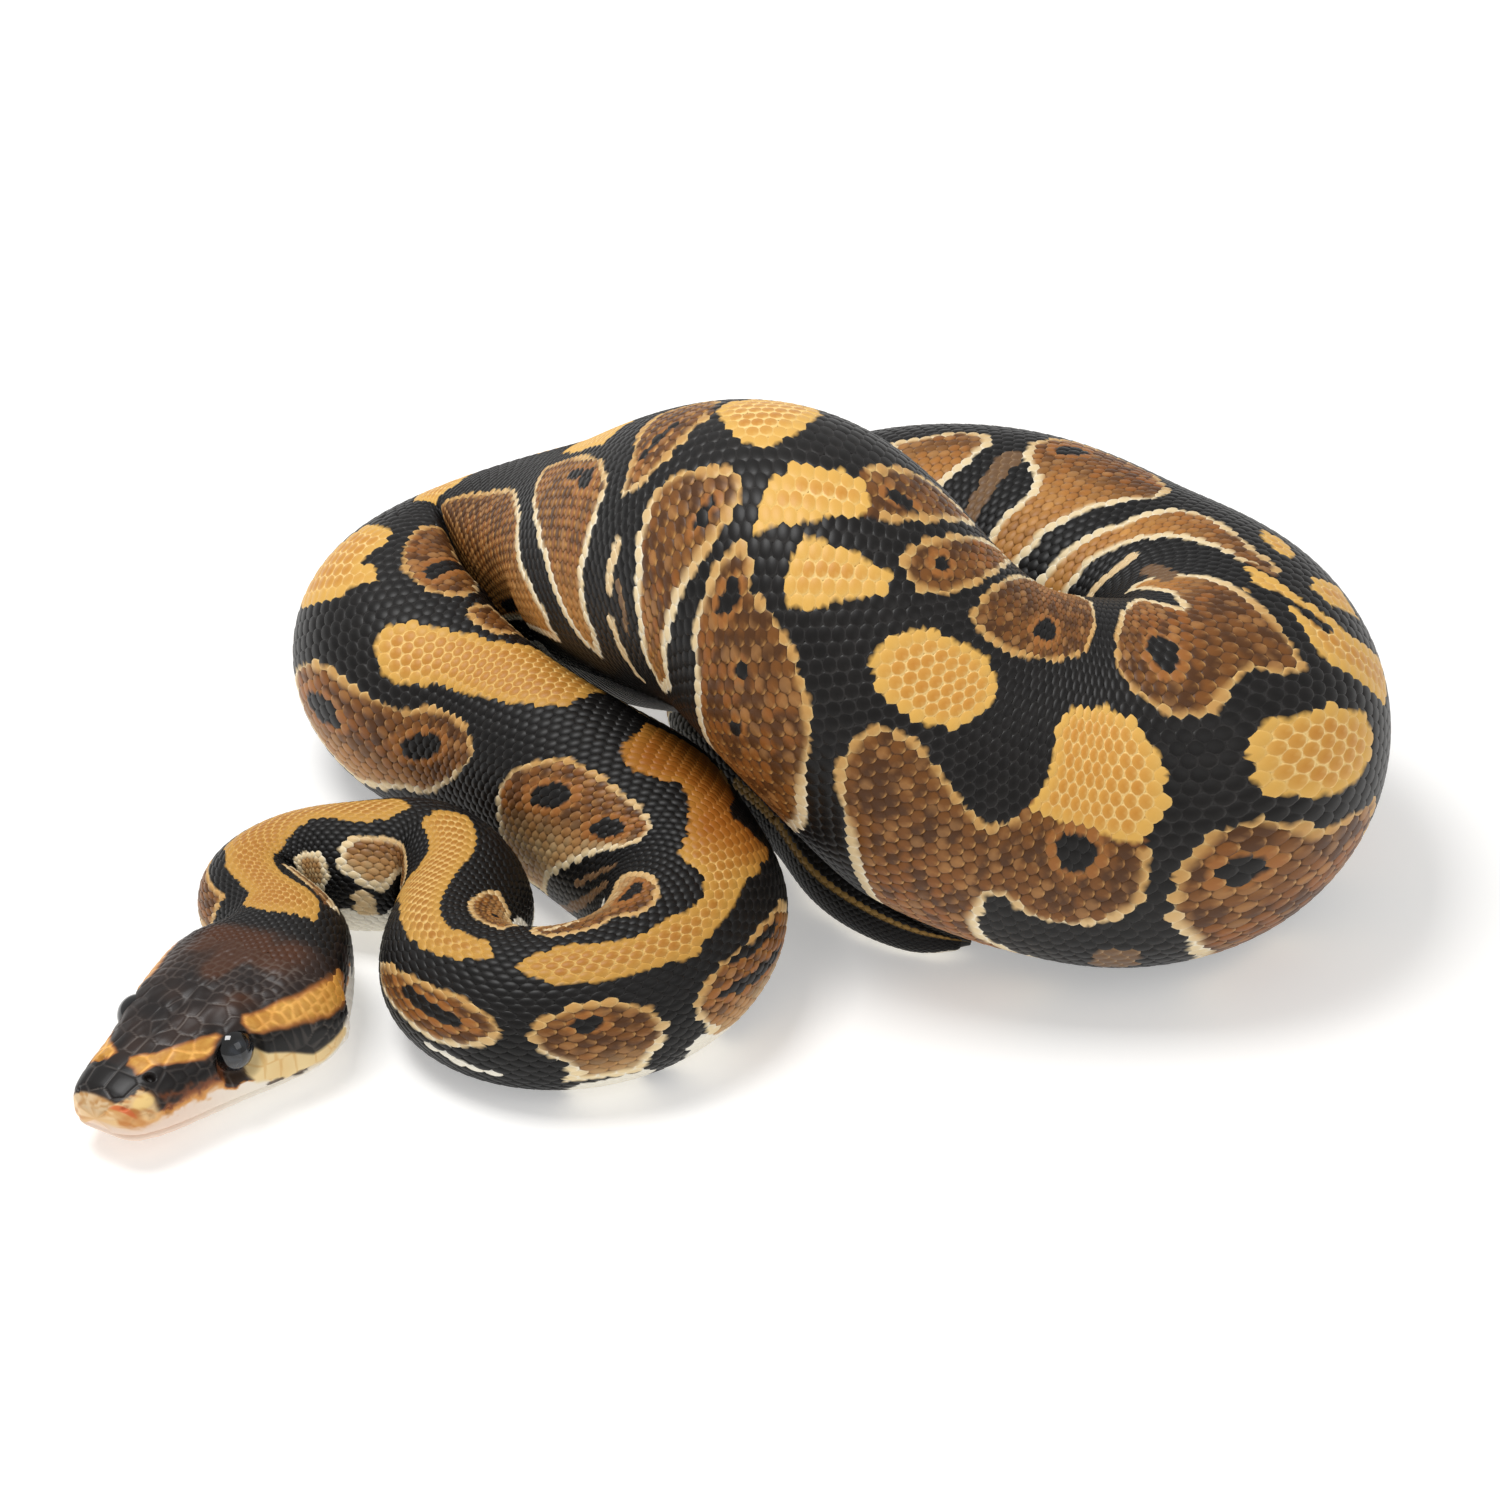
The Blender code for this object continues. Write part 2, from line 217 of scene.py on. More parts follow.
# Centre, rim and tail colours of the smaller marks.
SPOT_RING_TONES = ((158, 100, 48), (150, 104, 58), (206, 156, 92))
PALE_STREAK_TONES = ((222, 190, 140), (242, 222, 184), (238, 214, 172))
BROWN_STREAK_TONES = ((112, 84, 58), (136, 106, 76), (176, 144, 106))
TAIL_LINE_TONES = ((168, 132, 72), (150, 120, 70), (150, 120, 70))
# Tints of the gold at the front, and the painted shade of the hump on the gold that runs under it.
FRONT_GOLD_TINT = (0.85, 0.81, 0.73)
FRONT_RIM_TINT = (0.93, 0.90, 0.84)
HUMP_SHADE_TINT = (0.90, 0.80, 0.68)


def linear(colour):
    """sRGB 0-255 to the linear values that the shader takes."""
    share = np.asarray(colour, float) / 255.0
    return np.where(share <= 0.04045, share / 12.92, ((share + 0.055) / 1.055) ** 2.4)


def step(low, high, value):
    """Rises smoothly from 0 at low to 1 at high; low may be the greater."""
    share = np.clip((np.asarray(value, float) - low) / (high - low), 0.0, 1.0)
    return share * share * (3.0 - 2.0 * share)


def window(value, start, full, fade, end):
    """Rises from start to full and falls again from fade to end."""
    return step(start, full, value) * step(end, fade, value)


def mix(first, second, share):
    """Colours between the first, at share 0, and the second, at 1."""
    share = np.asarray(share, float)[..., None]
    return np.asarray(first) * (1.0 - share) + np.asarray(second) * share


def tinted(tone, tint, share):
    """A colour multiplied by a tint as far as the share says."""
    return mix(tone, tone * np.array(tint), share)


def unit(vectors):
    """The vectors at length 1."""
    return vectors / np.maximum(np.linalg.norm(vectors, axis=-1, keepdims=True), TINY)


def above_floor(points, height):
    """Lifts every point to at least this height over the floor."""
    points[..., 2] = np.maximum(points[..., 2], height)


def cubic_spline(knots, values, where):
    """Natural cubic spline through the rows of values, read at where."""
    knots = np.asarray(knots, float)
    values = np.asarray(values, float)
    count = len(knots)
    gap = np.diff(knots)
    slope = np.diff(values, axis=0) / gap[:, None]
    matrix = np.eye(count)
    right = np.zeros_like(values)
    for i in range(1, count - 1):
        matrix[i, i - 1] = gap[i - 1]
        matrix[i, i] = 2.0 * (gap[i - 1] + gap[i])
        matrix[i, i + 1] = gap[i]
        right[i] = 6.0 * (slope[i] - slope[i - 1])
    bend = np.linalg.solve(matrix, right)
    i = np.clip(np.searchsorted(knots, where) - 1, 0, count - 2)
    u = (where - knots[i])[:, None]
    h = gap[i][:, None]
    side_shade = slope[i] - h * (2.0 * bend[i] + bend[i + 1]) / 6.0
    return values[i] + u * (side_shade + u * (bend[i] / 2.0 + u * (bend[i + 1] - bend[i]) / (6.0 * h)))


class Spine:
    """The centre line, its frames and its radius, sampled by distance behind the snout."""

    def __init__(self):
        rows = np.array(STATIONS, float)
        chord = np.linalg.norm(np.diff(rows[:, :3], axis=0), axis=1)
        knots = np.concatenate([[0.0], np.cumsum(chord)])
        fine = np.arange(0.0, knots[-1], SPLINE_STEP)
        dense = cubic_spline(knots, rows, fine)
        run = np.linalg.norm(np.diff(dense[:, :3], axis=0), axis=1)
        along = np.concatenate([[0.0], np.cumsum(run)])
        self.length = along[-1]
        self.along = np.arange(0.0, self.length, SPINE_STEP)
        sampled = [np.interp(self.along, along, dense[:, k]) for k in range(5)]
        self.centre = np.stack(sampled[:3], axis=1)
        self.radius = sampled[3]
        self.roll = np.radians(sampled[4])
        self.tangent = unit(np.gradient(self.centre, axis=0))

    def at(self, distances, field):
        """One of the sampled tables, read at the distances."""
        table = getattr(self, field)
        if table.ndim == 1:
            return np.interp(distances, self.along, table)
        return np.stack([np.interp(distances, self.along, table[:, k]) for k in range(3)], axis=-1)

    def frames(self, distances):
        """Centres, directions towards the tail, dorsal directions and the animal's left."""
        centre = self.at(distances, "centre")
        tangent = unit(self.at(distances, "tangent"))
        up = unit(np.array([0.0, 0.0, 1.0]) - tangent * tangent[..., 2:3])
        side = np.cross(tangent, up)
        roll = self.at(distances, "roll")[..., None]
        dorsal = up * np.cos(roll) + side * np.sin(roll)
        left = side * np.cos(roll) - up * np.sin(roll)
        return centre, tangent, dorsal, left


def smooth_profile(distances, column):
    """The head profile with its corners rounded off."""
    rows = np.array(HEAD_PROFILE)
    total = np.zeros(len(distances))
    reach = np.minimum(1.6, 0.25 + np.maximum(distances, 0.0) * 0.3)
    shifts = (-1.0, -0.5, 0.0, 0.5, 1.0)
    for shift in shifts:
        total += np.interp(distances + shift * reach, rows[:, 0], rows[:, column])
    return total / len(shifts)


def free_radii(spine, distances, angles):
    """Radii of the free body, one row for each distance."""
    body = spine.at(distances, "radius")[:, None]
    body = body * (1.0 - BELLY_FLATTENING * np.maximum(0.0, -np.cos(angles))[None, :] ** 3)
    upper = np.cos(angles) >= 0.0
    width = smooth_profile(distances, 1)[:, None]
    depth = np.where(upper[None, :], smooth_profile(distances, 2)[:, None],
                     smooth_profile(distances, 3)[:, None])
    power = np.where(upper, ROOF_POWER, FLOOR_POWER)[None, :]
    sideways = np.abs(np.sin(angles))[None, :] / width
    upright = np.abs(np.cos(angles))[None, :] / depth
    head = (sideways ** power + upright ** power) ** (-1.0 / power)
    across = np.abs(head * np.sin(angles)[None, :]) - EYE_SIDE
    above = head * np.cos(angles)[None, :] - EYE_UP
    away = ((distances[:, None] - EYE_BACK) ** 2 + across ** 2 + above ** 2) / BROW_REACH ** 2
    head = head + BROW_HEIGHT * np.exp(-away)
    share = step(BLEND_START, HEAD_BLEND, distances)[:, None]
    return head * (1.0 - share) + body * share


def free_reach(spine, distance, centre, rays):
    """How far each ray may run before it meets a neighbouring length of the body."""
    radius = spine.at(distance, "radius")
    offset = centre - spine.centre
    gap = np.sum(offset * offset, axis=1)
    near = np.abs(spine.along - distance) < LOCAL_REACH
    weight = np.where(near, gap, gap + radius ** 2 - spine.radius ** 2)
    weight = np.maximum(weight, LEAST_WEIGHT * gap)
    in_play = (gap > NEAREST_NEIGHBOUR ** 2) & (spine.along > PRESSING_START)
    facing = -2.0 * rays @ offset.T
    facing[:, ~in_play] = 0.0
    allowed = weight[None, :] / np.maximum(facing, LEAST_FACING)
    reach = np.where(facing > LEAST_FACING, allowed, FAR_REACH)
    return reach.min(axis=1)


def surface(spine, distances, angles):
    """Points of the animal's outside, in mm: one row of points for each distance."""
    centre, _, dorsal, left = spine.frames(distances)
    rays = dorsal[:, None, :] * np.cos(angles)[None, :, None]
    rays = rays + left[:, None, :] * np.sin(angles)[None, :, None]
    radii = free_radii(spine, distances, angles)
    for i, distance in enumerate(distances):
        if distance <= BLEND_START:
            continue
        reach = free_reach(spine, distance, centre[i], rays[i]) - CONTACT_GAP
        reach = np.maximum(reach, LEAST_REACH)
        radii[i] = (radii[i] ** -PRESS_POWER + reach ** -PRESS_POWER) ** (-1.0 / PRESS_POWER)
    points = centre[:, None, :] + rays * radii[:, :, None]
    above_floor(points, 0.0)
    return points


def bottom_centre(spine):
    """The point under the middle of the whole coil, in mm."""
    angles = np.arange(CENTRE_COLUMNS) * 2.0 * pi / CENTRE_COLUMNS
    rings = np.arange(0.0, spine.length, CENTRE_STEP)
    cloud = surface(spine, rings, angles).reshape(-1, 3)
    middle = (cloud.min(axis=0) + cloud.max(axis=0)) / 2.0
    return np.array([middle[0], middle[1], 0.0])


class Hide:
    """The outside of the animal, read at any distance behind the snout and any angle."""

    def __init__(self, spine, origin):
        self.last = spine.length - TAIL_CUT
        self.along = np.arange(0.0, self.last, GRID_STEP)
        self.angles = np.radians(np.arange(-180.0, 180.0 + GRID_ANGLE, GRID_ANGLE))
        self.points = surface(spine, self.along, self.angles) - origin
        nearest = np.clip(np.rint(self.along / SPINE_STEP).astype(int), 0, len(spine.centre) - 1)
        centre = spine.centre[nearest] - origin
        near_tip = np.clip((self.along - self.last + TIP_TAPER) / TIP_TAPER, 0.0, 0.99)
        slim = np.sqrt(1.0 - near_tip ** 2)[:, None, None]
        self.points = centre[:, None, :] + (self.points - centre[:, None, :]) * slim
        lengthwise = np.gradient(self.points, axis=0)
        wrapped = np.concatenate([self.points[:, -2:-1], self.points, self.points[:, 1:2]], axis=1)
        crosswise = (wrapped[:, 2:] - wrapped[:, :-2]) * 0.5
        normal = unit(np.cross(crosswise, lengthwise))
        outward = np.sum(normal * (self.points - centre[:, None, :]), axis=2, keepdims=True)
        self.normals = normal * np.where(outward.mean() >= 0.0, 1.0, -1.0)
        self.girth = spine.at(self.along, "radius")

    def read(self, table, distances, degrees):
        """A table of the grid, read between its rows and columns."""
        row = np.clip(np.asarray(distances) / GRID_STEP, 0.0, len(self.along) - 1.001)
        turned = (np.asarray(degrees) + 180.0) % 360.0
        column = np.clip(turned / GRID_ANGLE, 0.0, len(self.angles) - 1.001)
        i = row.astype(int)
        j = column.astype(int)
        u = (row - i)[..., None]
        v = (column - j)[..., None]
        low = table[i, j] * (1.0 - v) + table[i, j + 1] * v
        high = table[i + 1, j] * (1.0 - v) + table[i + 1, j + 1] * v
        return low * (1.0 - u) + high * u

    def place(self, distances, degrees, depth):
        """Points in mm at a depth below the outside."""
        point = self.read(self.points, distances, degrees)
        normal = unit(self.read(self.normals, distances, degrees))
        return point - normal * np.asarray(depth)[..., None]

    def radius(self, distances):
        """Radius of the body in mm."""
        return np.interp(distances, self.along, self.girth)


# ---- markings: outlines of (mm behind the snout, degrees round from the back) --
# Positive degrees are on the animal's left side.
GOLD_MARKS = (
    ((41, 40), (44, 40), (48, 28), (51, 29), (57, 43), (60, 48), (63, 47), (68, 32), (71, 22), (75, 27),
     (78, 29), (81, 22), (83, 13), (84, 1), (82, -14), (60, -14), (59, -4), (55, -6), (51, -12),
     (48.5, -16), (47, -30), (43.5, -29), (41.5, -16), (41, -3)),
    ((87.3, 13), (96, 12), (100, 20), (102, 44), (104.5, 44), (106, 30), (110, 17), (114, 10), (120, 0),
     (124.5, -10), (127.5, -20), (126, -32), (122, -30), (120, -25), (108, -22.5), (98, -28),
     (90.5, -30), (88, -14)),
    ((130.8, -14), (134.5, -1), (144, 1), (149, 7), (152.7, 0), (160, 0), (165, 15), (169.4, 32),
     (173, 54), (182, 53), (187, 42), (190, 26), (188.3, 11), (186.6, -5), (184.4, -16), (181.6, -21),
     (178, -19), (177, -13), (173.3, -17), (170, -28), (165, -37), (162.5, -42.5), (160, -40),
     (159, -28), (156, -19), (152, -20), (149.5, -25), (145, -24), (140.5, -27), (137.7, -32.5),
     (134.5, -31.5), (131.3, -22)),
    ((198.7, 30), (200, 38), (212.6, 38), (213, 28), (216, 20.6), (221, 16.5), (225.4, 11), (229.3, 5),
     (231, -3), (230.4, -14), (227.6, -21), (224.8, -22), (219.3, -13), (208.7, -9.6), (204.8, -6.5),
     (199.8, -1), (197.3, 5)),
    ((237, 9), (239.3, 9), (241.2, 2), (243.7, 13), (246.2, 14), (247.6, 7), (249.3, -5), (249.8, -12),
     (247, -24), (244.3, -43), (242, -37), (239.3, -16)),
    ((288, 14), (292, 32), (303, 39), (310.5, 37), (309, 20), (300, 8)),
    ((324, 4), (326, 11), (328.5, 13), (331, 14), (333, 8), (333, -2), (332.3, -14), (331, -22),
     (328, -25), (325.5, -18), (324, -8)),
    ((337.5, 25), (336, 20), (335.4, 12), (335.3, 3), (336.3, -4), (337.3, -12), (338.8, -17),
     (341.3, -16), (341.2, -8), (340.2, 0), (339.2, 8), (338.6, 16)),
    ((341.8, 21), (340.8, 16), (340.4, 9), (341.5, 3), (343.4, -3), (345.4, -10), (347.3, -13),
     (348, -7), (347.2, 0), (346, 8), (344.8, 17), (343.4, 23)),
    ((351.2, 4), (352, 10), (354.8, 14.5), (358.2, 13.5), (361.8, 10), (364.3, 1), (364.2, -9),
     (360.5, -16), (356, -15.5), (352.7, -11), (351.3, -3)),
    ((375.5, 22), (376.4, 8), (375.3, -5), (377.4, -12), (383.8, -16), (388.3, -13), (391, -3),
     (391.5, 14), (389, 24)),
    ((397.5, 6), (398.3, 13), (402, 20), (406, 20), (409, 13), (408.3, 4), (405, -6), (399.5, -8.5),
     (397.8, -3)),
    ((407.7, -24), (408.3, -16), (411, -1), (413.8, 11), (417.7, 7), (418.8, 3), (415.5, -7.5),
     (414, -18), (413.8, -35), (417.2, -57), (413, -52), (410.5, -36)),
    ((419.4, -12), (416.3, -26), (417.2, -35), (420.5, -32.5), (423, -20)),
    ((422.4, -41), (424.5, -37.5), (427.5, -38), (429.2, -43), (427.2, -48), (423.6, -47)),
)
BROWN_MARKS = (
    ((53, -27), (60, -27), (60, -50), (58, -76), (53, -76)),
    ((105.5, -62), (108.5, -50), (113, -46), (117.5, -47), (122.5, -48), (126, -52), (127, -68),
     (124, -80), (115, -90), (107.6, -80)),
    ((130.5, -67), (131.3, -51), (134.4, -45), (140, -44), (144.4, -49), (147.2, -40), (150, -38),
     (153.8, -47), (157.2, -60), (159.4, -74), (160.8, -92), (150, -98), (136, -96)),
    ((167.7, -62), (169.4, -51), (174.4, -43), (179, -38), (184.4, -30), (190.5, -25), (192.6, -29),
     (196.5, -37), (198.2, -49), (198.4, -87), (199.3, -112), (190, -122), (186.6, -103), (181.6, -91),
     (176, -80), (170, -72)),
    ((205.4, -37), (209.3, -26), (214.3, -23), (219.3, -25), (222.6, -32), (227, -33.5), (234.3, -36),
     (237, -43), (239.3, -55), (240.7, -68), (236.5, -85), (230.4, -95), (223, -78), (216.5, -72),
     (210.4, -57.5), (206.5, -45)),
    ((338.8, -15), (337.8, -22), (338, -30), (338.6, -42), (340, -52), (343, -64), (346.5, -68),
     (345.6, -54), (344.6, -38), (343.2, -22), (341.2, -12)),
    ((346.4, -18), (345.8, -26), (346.2, -36), (347.2, -50), (349, -66), (351, -76), (354.6, -74),
     (354.2, -54), (353.2, -36), (352, -25), (349.6, -17.5)),
    ((355.4, -25), (354.8, -36), (355.2, -48), (357, -62), (361, -74), (368, -84), (378, -80),
     (382, -66), (381.5, -48), (378.5, -33), (371.5, -26), (362.5, -22), (358, -23)),
    ((385.8, -31), (388, -23), (392.5, -14), (396, -14), (398.3, -22), (400.5, -26), (402.7, -20),
     (405, -19), (406.6, -32), (408.8, -47), (411.6, -60), (414.4, -78), (415.5, -93), (411, -93),
     (403.8, -68), (400.5, -57.5), (398, -75), (392.7, -68), (389.2, -59), (386.4, -44)),
    ((416.3, -47), (418.8, -46), (422.2, -54), (428.3, -58.5), (433.8, -60.6), (437.7, -67),
     (440, -84), (442.5, -92), (445, -108), (446, -120), (439, -120), (438.3, -104), (435, -91),
     (430, -80), (424.5, -71), (419, -60)),
    ((441, -64), (442.5, -52), (446.6, -45), (450.5, -37), (463.8, -35), (465, -43), (465.5, -55),
     (464, -66), (459, -76), (457, -84), (458, -98), (457.5, -120), (450, -120), (448.6, -95), (446, -80)),
    ((470.2, -62), (471.6, -55), (475.5, -53), (480, -57.5), (484.4, -58.5), (482, -74), (474, -94),
     (470.8, -74)),
    ((44, 44), (46.8, 40), (54, 44), (54, 62), (44, 62)),
    ((63, 64), (67, 58), (72, 62), (73.5, 80), (72, 100), (64, 100)),
    ((75.4, 55), (76.8, 44), (80, 42), (100, 40), (99, 66), (85.4, 63), (80, 90), (77.6, 88), (74.6, 74)),
    ((114, 47), (116, 34), (119, 25), (122.2, 17.5), (126, 15), (129, 22), (130, 32), (129, 42.5),
     (127, 52), (124.4, 58), (115.5, 57)),
    ((136.6, 12), (133.3, 22), (132, 34), (133, 47), (135, 57), (135.5, 67), (134.7, 78), (141.6, 79),
     (142.4, 67), (143.6, 53), (144, 40), (142.7, 26), (140, 15)),
    ((147.4, 88), (148.8, 67), (147, 47), (147, 36), (148.3, 28), (151, 21), (154.4, 22), (158.8, 26),
     (162.7, 34), (164.7, 49), (164, 70), (156, 92)),
    ((216.5, 48), (217, 26), (221, 23), (225, 28), (225, 48)),
    ((227.6, 34), (228.7, 49), (232.6, 57), (240, 53), (250, 42), (253, 32), (247.6, 24), (236.5, 21),
     (231, 24)),
    ((262, 24), (268, 32), (274, 40), (285.5, 50), (294.5, 66), (297, 78), (301.5, 92), (305, 103),
     (304, 118), (268, 112), (262, 80), (257, 48)),
    ((291.5, 42), (296.5, 58), (303, 74), (306.5, 84), (309, 96), (312, 111), (315, 120), (318, 112),
     (317.6, 96), (318, 86), (319.5, 70), (319.5, 54), (314, 45), (302.5, 41)),
    ((323.2, 57), (325.5, 48), (326.5, 38), (326.4, 26), (325.6, 14), (323, 4), (319.5, 0), (316, 18),
     (317.5, 30), (321, 42), (322.3, 50)),
    ((327.5, 46), (329, 36), (331, 28), (333, 21), (335, 24), (335.6, 38), (335.6, 62), (336.2, 80),
     (338, 92), (334, 106), (331, 97), (329.5, 80), (328, 62)),
    ((337.2, 31), (336.8, 40), (337.3, 50), (338.5, 61), (342, 73), (345, 95), (347, 110), (358, 104),
     (358, 74), (355.8, 58), (353.2, 41), (350.5, 32), (347, 27), (343, 28.5), (340.5, 33), (339, 29)),
    ((366.5, 92), (363.5, 76), (360.5, 59), (356.2, 42), (355.4, 30), (356.3, 21), (359.5, 18.5),
     (363, 21.5), (367, 27), (371.5, 32), (374, 26), (376.4, 16), (389.5, 17), (390.2, 32), (390, 46),
     (387.5, 54), (384, 58), (380, 58), (376.5, 52.5), (375, 55), (375.6, 68), (377.5, 78), (383, 92),
     (386, 98), (376, 106), (370, 102)),
    ((396.5, 90), (394, 64), (392.3, 53), (392, 42), (392.4, 32), (394.5, 21.5), (397.5, 19.5),
     (400, 25), (401.5, 31), (405, 32), (409, 34), (409, 50), (405, 90)),
)
DARK_MARKS = (
    ((170, 0), (168.3, 17.5), (169.4, 32), (171, 60), (183, 60), (181, 52), (177, 32), (173.8, 17.5),
     (172.7, 9)),
    ((411, -24), (412.4, -22), (412.8, -48), (411.4, -50)),
)
# Dark spots inside the brown patches: place, half-length in mm, half-width in degrees, slant.
EYE_SPOTS = (
    (152, -65, 3.0, 7, 0), (176.5, -62, 3.0, 6.5, 0), (188.5, -49, 3.0, 7.5, 0), (218, -45, 4.2, 6.5, -25),
    (233.7, -57.5, 2.8, 6, -25), (117.5, -68, 1.7, 4.5, 0), (367.5, -38, 2.6, 5.5, 0),
    (393.3, -37, 1.8, 7, 0),
    (460.5, -51, 2.0, 5.5, 0), (341.8, -29, 2.6, 1.9, -59), (349, -32, 1.0, 3.6, 0), (123, 34.5, 3.4, 6, 0),
    (137.2, 28, 1.3, 5, 0), (382.5, 30, 2.5, 6.0, 0), (396.6, 36, 1.6, 4.6, 0), (309, 52, 2.0, 3, 0),
    (313, 54, 1.8, 4.5, 0), (339.6, 42, 0.9, 6, 0), (344.5, 48, 0.7, 3, 0), (347.6, 62, 0.7, 3, 0),
    (237, 44, 5.5, 5.5, 60),
    (282, 104, 5, 4, 0), (155.5, 49, 5.8, 4.5, 19),
    (156.5, 31, 4.6, 3.4, 19), (322.8, 32, 0.6, 9, 0), (333.4, 38, 0.5, 6, 0),
)
# White flares that run up from the belly between and under the patches.
WHITE_MARKS = (
    ((122, 65), (125, 66.5), (129.5, 72), (129.5, 75.5), (126, 75), (122.4, 69.5)),
    ((135, 96), (136.5, 84), (139.5, 82), (142, 80), (143.4, 90), (143.6, 122), (135.5, 122)),
    ((146.4, 70), (148.2, 64), (150.2, 76), (153.6, 84), (155, 118), (147.4, 118)),
    ((104, -112), (105, -92), (109, -86), (114, -92), (119, -92), (124, -86), (128, -88), (129, -112)),
)
# Streaks in the dark bands of the sides: start and end, half-width in mm.
PALE_STREAKS = (
    ((77.8, 99), (78.2, 130), 1.2), ((325, 69), (324, 86), 0.6), ((323.8, 97), (325, 118), 0.8),
    ((429.8, -95), (432, -118), 1.5), ((133.5, -58), (139, -68), 0.5),
)
BROWN_STREAKS = (
    ((165, -100), (180, -118), 0.8), ((167, -86), (178, -100), 0.5), ((172, -108), (188, -132), 0.7),
    ((465.5, -68), (464.5, -104), 1.7), ((413, -79), (421, -90), 1.3),
    ((389, 72), (389.5, 84), 1.8), ((326.3, 82), (327.5, 96), 0.5),
)
# Lengths of flank that nothing shows: side, start, end.
HIDDEN_FLANKS = (
    (1.0, 168.0, 212.0), (1.0, 413.0, 536.0), (-1.0, 62.0, 92.0), (-1.0, 246.0, 336.0),
    (-1.0, 488.0, 536.0),
)
# Lengths of back out of sight, and the tail: start, end, length of one blotch.
HIDDEN_BACKS = ((256.0, 284.0, 9.0), (428.0, 536.0, 8.0), (540.0, 580.0, 4.5))


def invented_marks():
    """Brown patches by rule for the lengths of flank that nothing shows."""
    dice = np.random.default_rng(SEED)
    marks = []
    for side, start, end in HIDDEN_FLANKS:
        here = start + 3.0
        while here < end - 8.0:
            length = dice.uniform(9.0, 14.0)
            top = dice.uniform(34.0, 46.0)
            low = dice.uniform(92.0, 106.0)
            waist = dice.uniform(0.75, 1.0)
            marks.append((
                (here, side * (top + 14)), (here + length * 0.3, side * top),
                (here + length * 0.7, side * (top + 2)), (here + length, side * (top + 16)),
                (here + length * waist, side * (top + low) * 0.5), (here + length, side * (low - 8)),
                (here + length * 0.5, side * low), (here + length * 0.1, side * (low - 10)),
            ))
            here += length + dice.uniform(3.0, 6.0)
    return tuple(marks)


def invented_blotches():
    """Gold blotches along the back where it is out of sight, and small ones on the tail."""
    dice = np.random.default_rng(SEED + 1)
    marks = []
    for start, end, size in HIDDEN_BACKS:
        here = start
        while here < end:
            wide = dice.uniform(12.0, 20.0)
            lean = dice.uniform(-8.0, 8.0)
            marks.append((
                (here, lean), (here + size * 0.35, lean + wide), (here + size * 0.9, lean + wide * 0.8),
                (here + size * 1.1, lean - 2.0), (here + size * 0.7, lean - wide),
                (here + size * 0.2, lean - wide * 0.7),
            ))
            here += size + dice.uniform(6.0, 9.0)
    return tuple(marks)


def inside_by(outline, distances, degrees, radius):
    """How far inside an outline each place is, in mm, negative outside it."""
    corners = np.array(outline, float)
    corners[:, 1] = np.radians(corners[:, 1]) * radius
    x = np.asarray(distances, float)
    y = np.radians(degrees) * radius
    nearest = np.full(x.shape, np.inf)
    within = np.zeros(x.shape, bool)
    for start, end in zip(corners, np.roll(corners, -1, axis=0)):
        run = end - start
        share = ((x - start[0]) * run[0] + (y - start[1]) * run[1]) / max(run @ run, TINY)
        share = np.clip(share, 0.0, 1.0)
        dx = x - start[0] - run[0] * share
        dy = y - start[1] - run[1] * share
        nearest = np.minimum(nearest, dx * dx + dy * dy)
        crossing = (start[1] > y) != (end[1] > y)
        rise = end[1] - start[1]
        if abs(rise) > TINY:
            meets = start[0] + (y - start[1]) * run[0] / rise
            within ^= crossing & (x < meets)
    return np.where(within, 1.0, -1.0) * np.sqrt(nearest)


def value_noise(x, y, seed):
    """Smooth seeded noise between 0 and 1."""
    table = np.random.default_rng(seed).random((NOISE_SIZE, NOISE_SIZE))
    i = np.floor(x).astype(int)
    j = np.floor(y).astype(int)
    u = step(0.0, 1.0, x - i)
    v = step(0.0, 1.0, y - j)
    rows = (i % NOISE_SIZE, (i + 1) % NOISE_SIZE)
    low, high = [table[rows[0], k] * (1 - u) + table[rows[1], k] * u
                 for k in (j % NOISE_SIZE, (j + 1) % NOISE_SIZE)]
    return low * (1 - v) + high * v


# A place counts as inside a mark or a streak from this depth on.
MARK_EDGE = -0.05
STREAK_EDGE = -0.1
# Where the tail starts to carry a thin line on each side.
TAIL_START = 542.0
# Middle of the angle at which the pale belly starts, by distance behind the snout.
BELLY_PLACES = (36.0, 60.0, 104.0, 164.0, 200.0, 250.0, 470.0, 500.0, 545.0, 590.0)
BELLY_ANGLES = (100.0, 112.0, 106.0, 106.0, 118.0, 136.0, 130.0, 122.0, 130.0, 132.0)
# Stretches where it starts lower: by how many degrees, on which side, and where.
BELLY_DROPS = (
    (12.0, 1.0, (98.0, 112.0, 160.0, 172.0)),
    (30.0, -1.0, (160.0, 170.0, 200.0, 214.0)),
    (20.0, 1.0, (284.0, 298.0, 342.0, 352.0)),
)


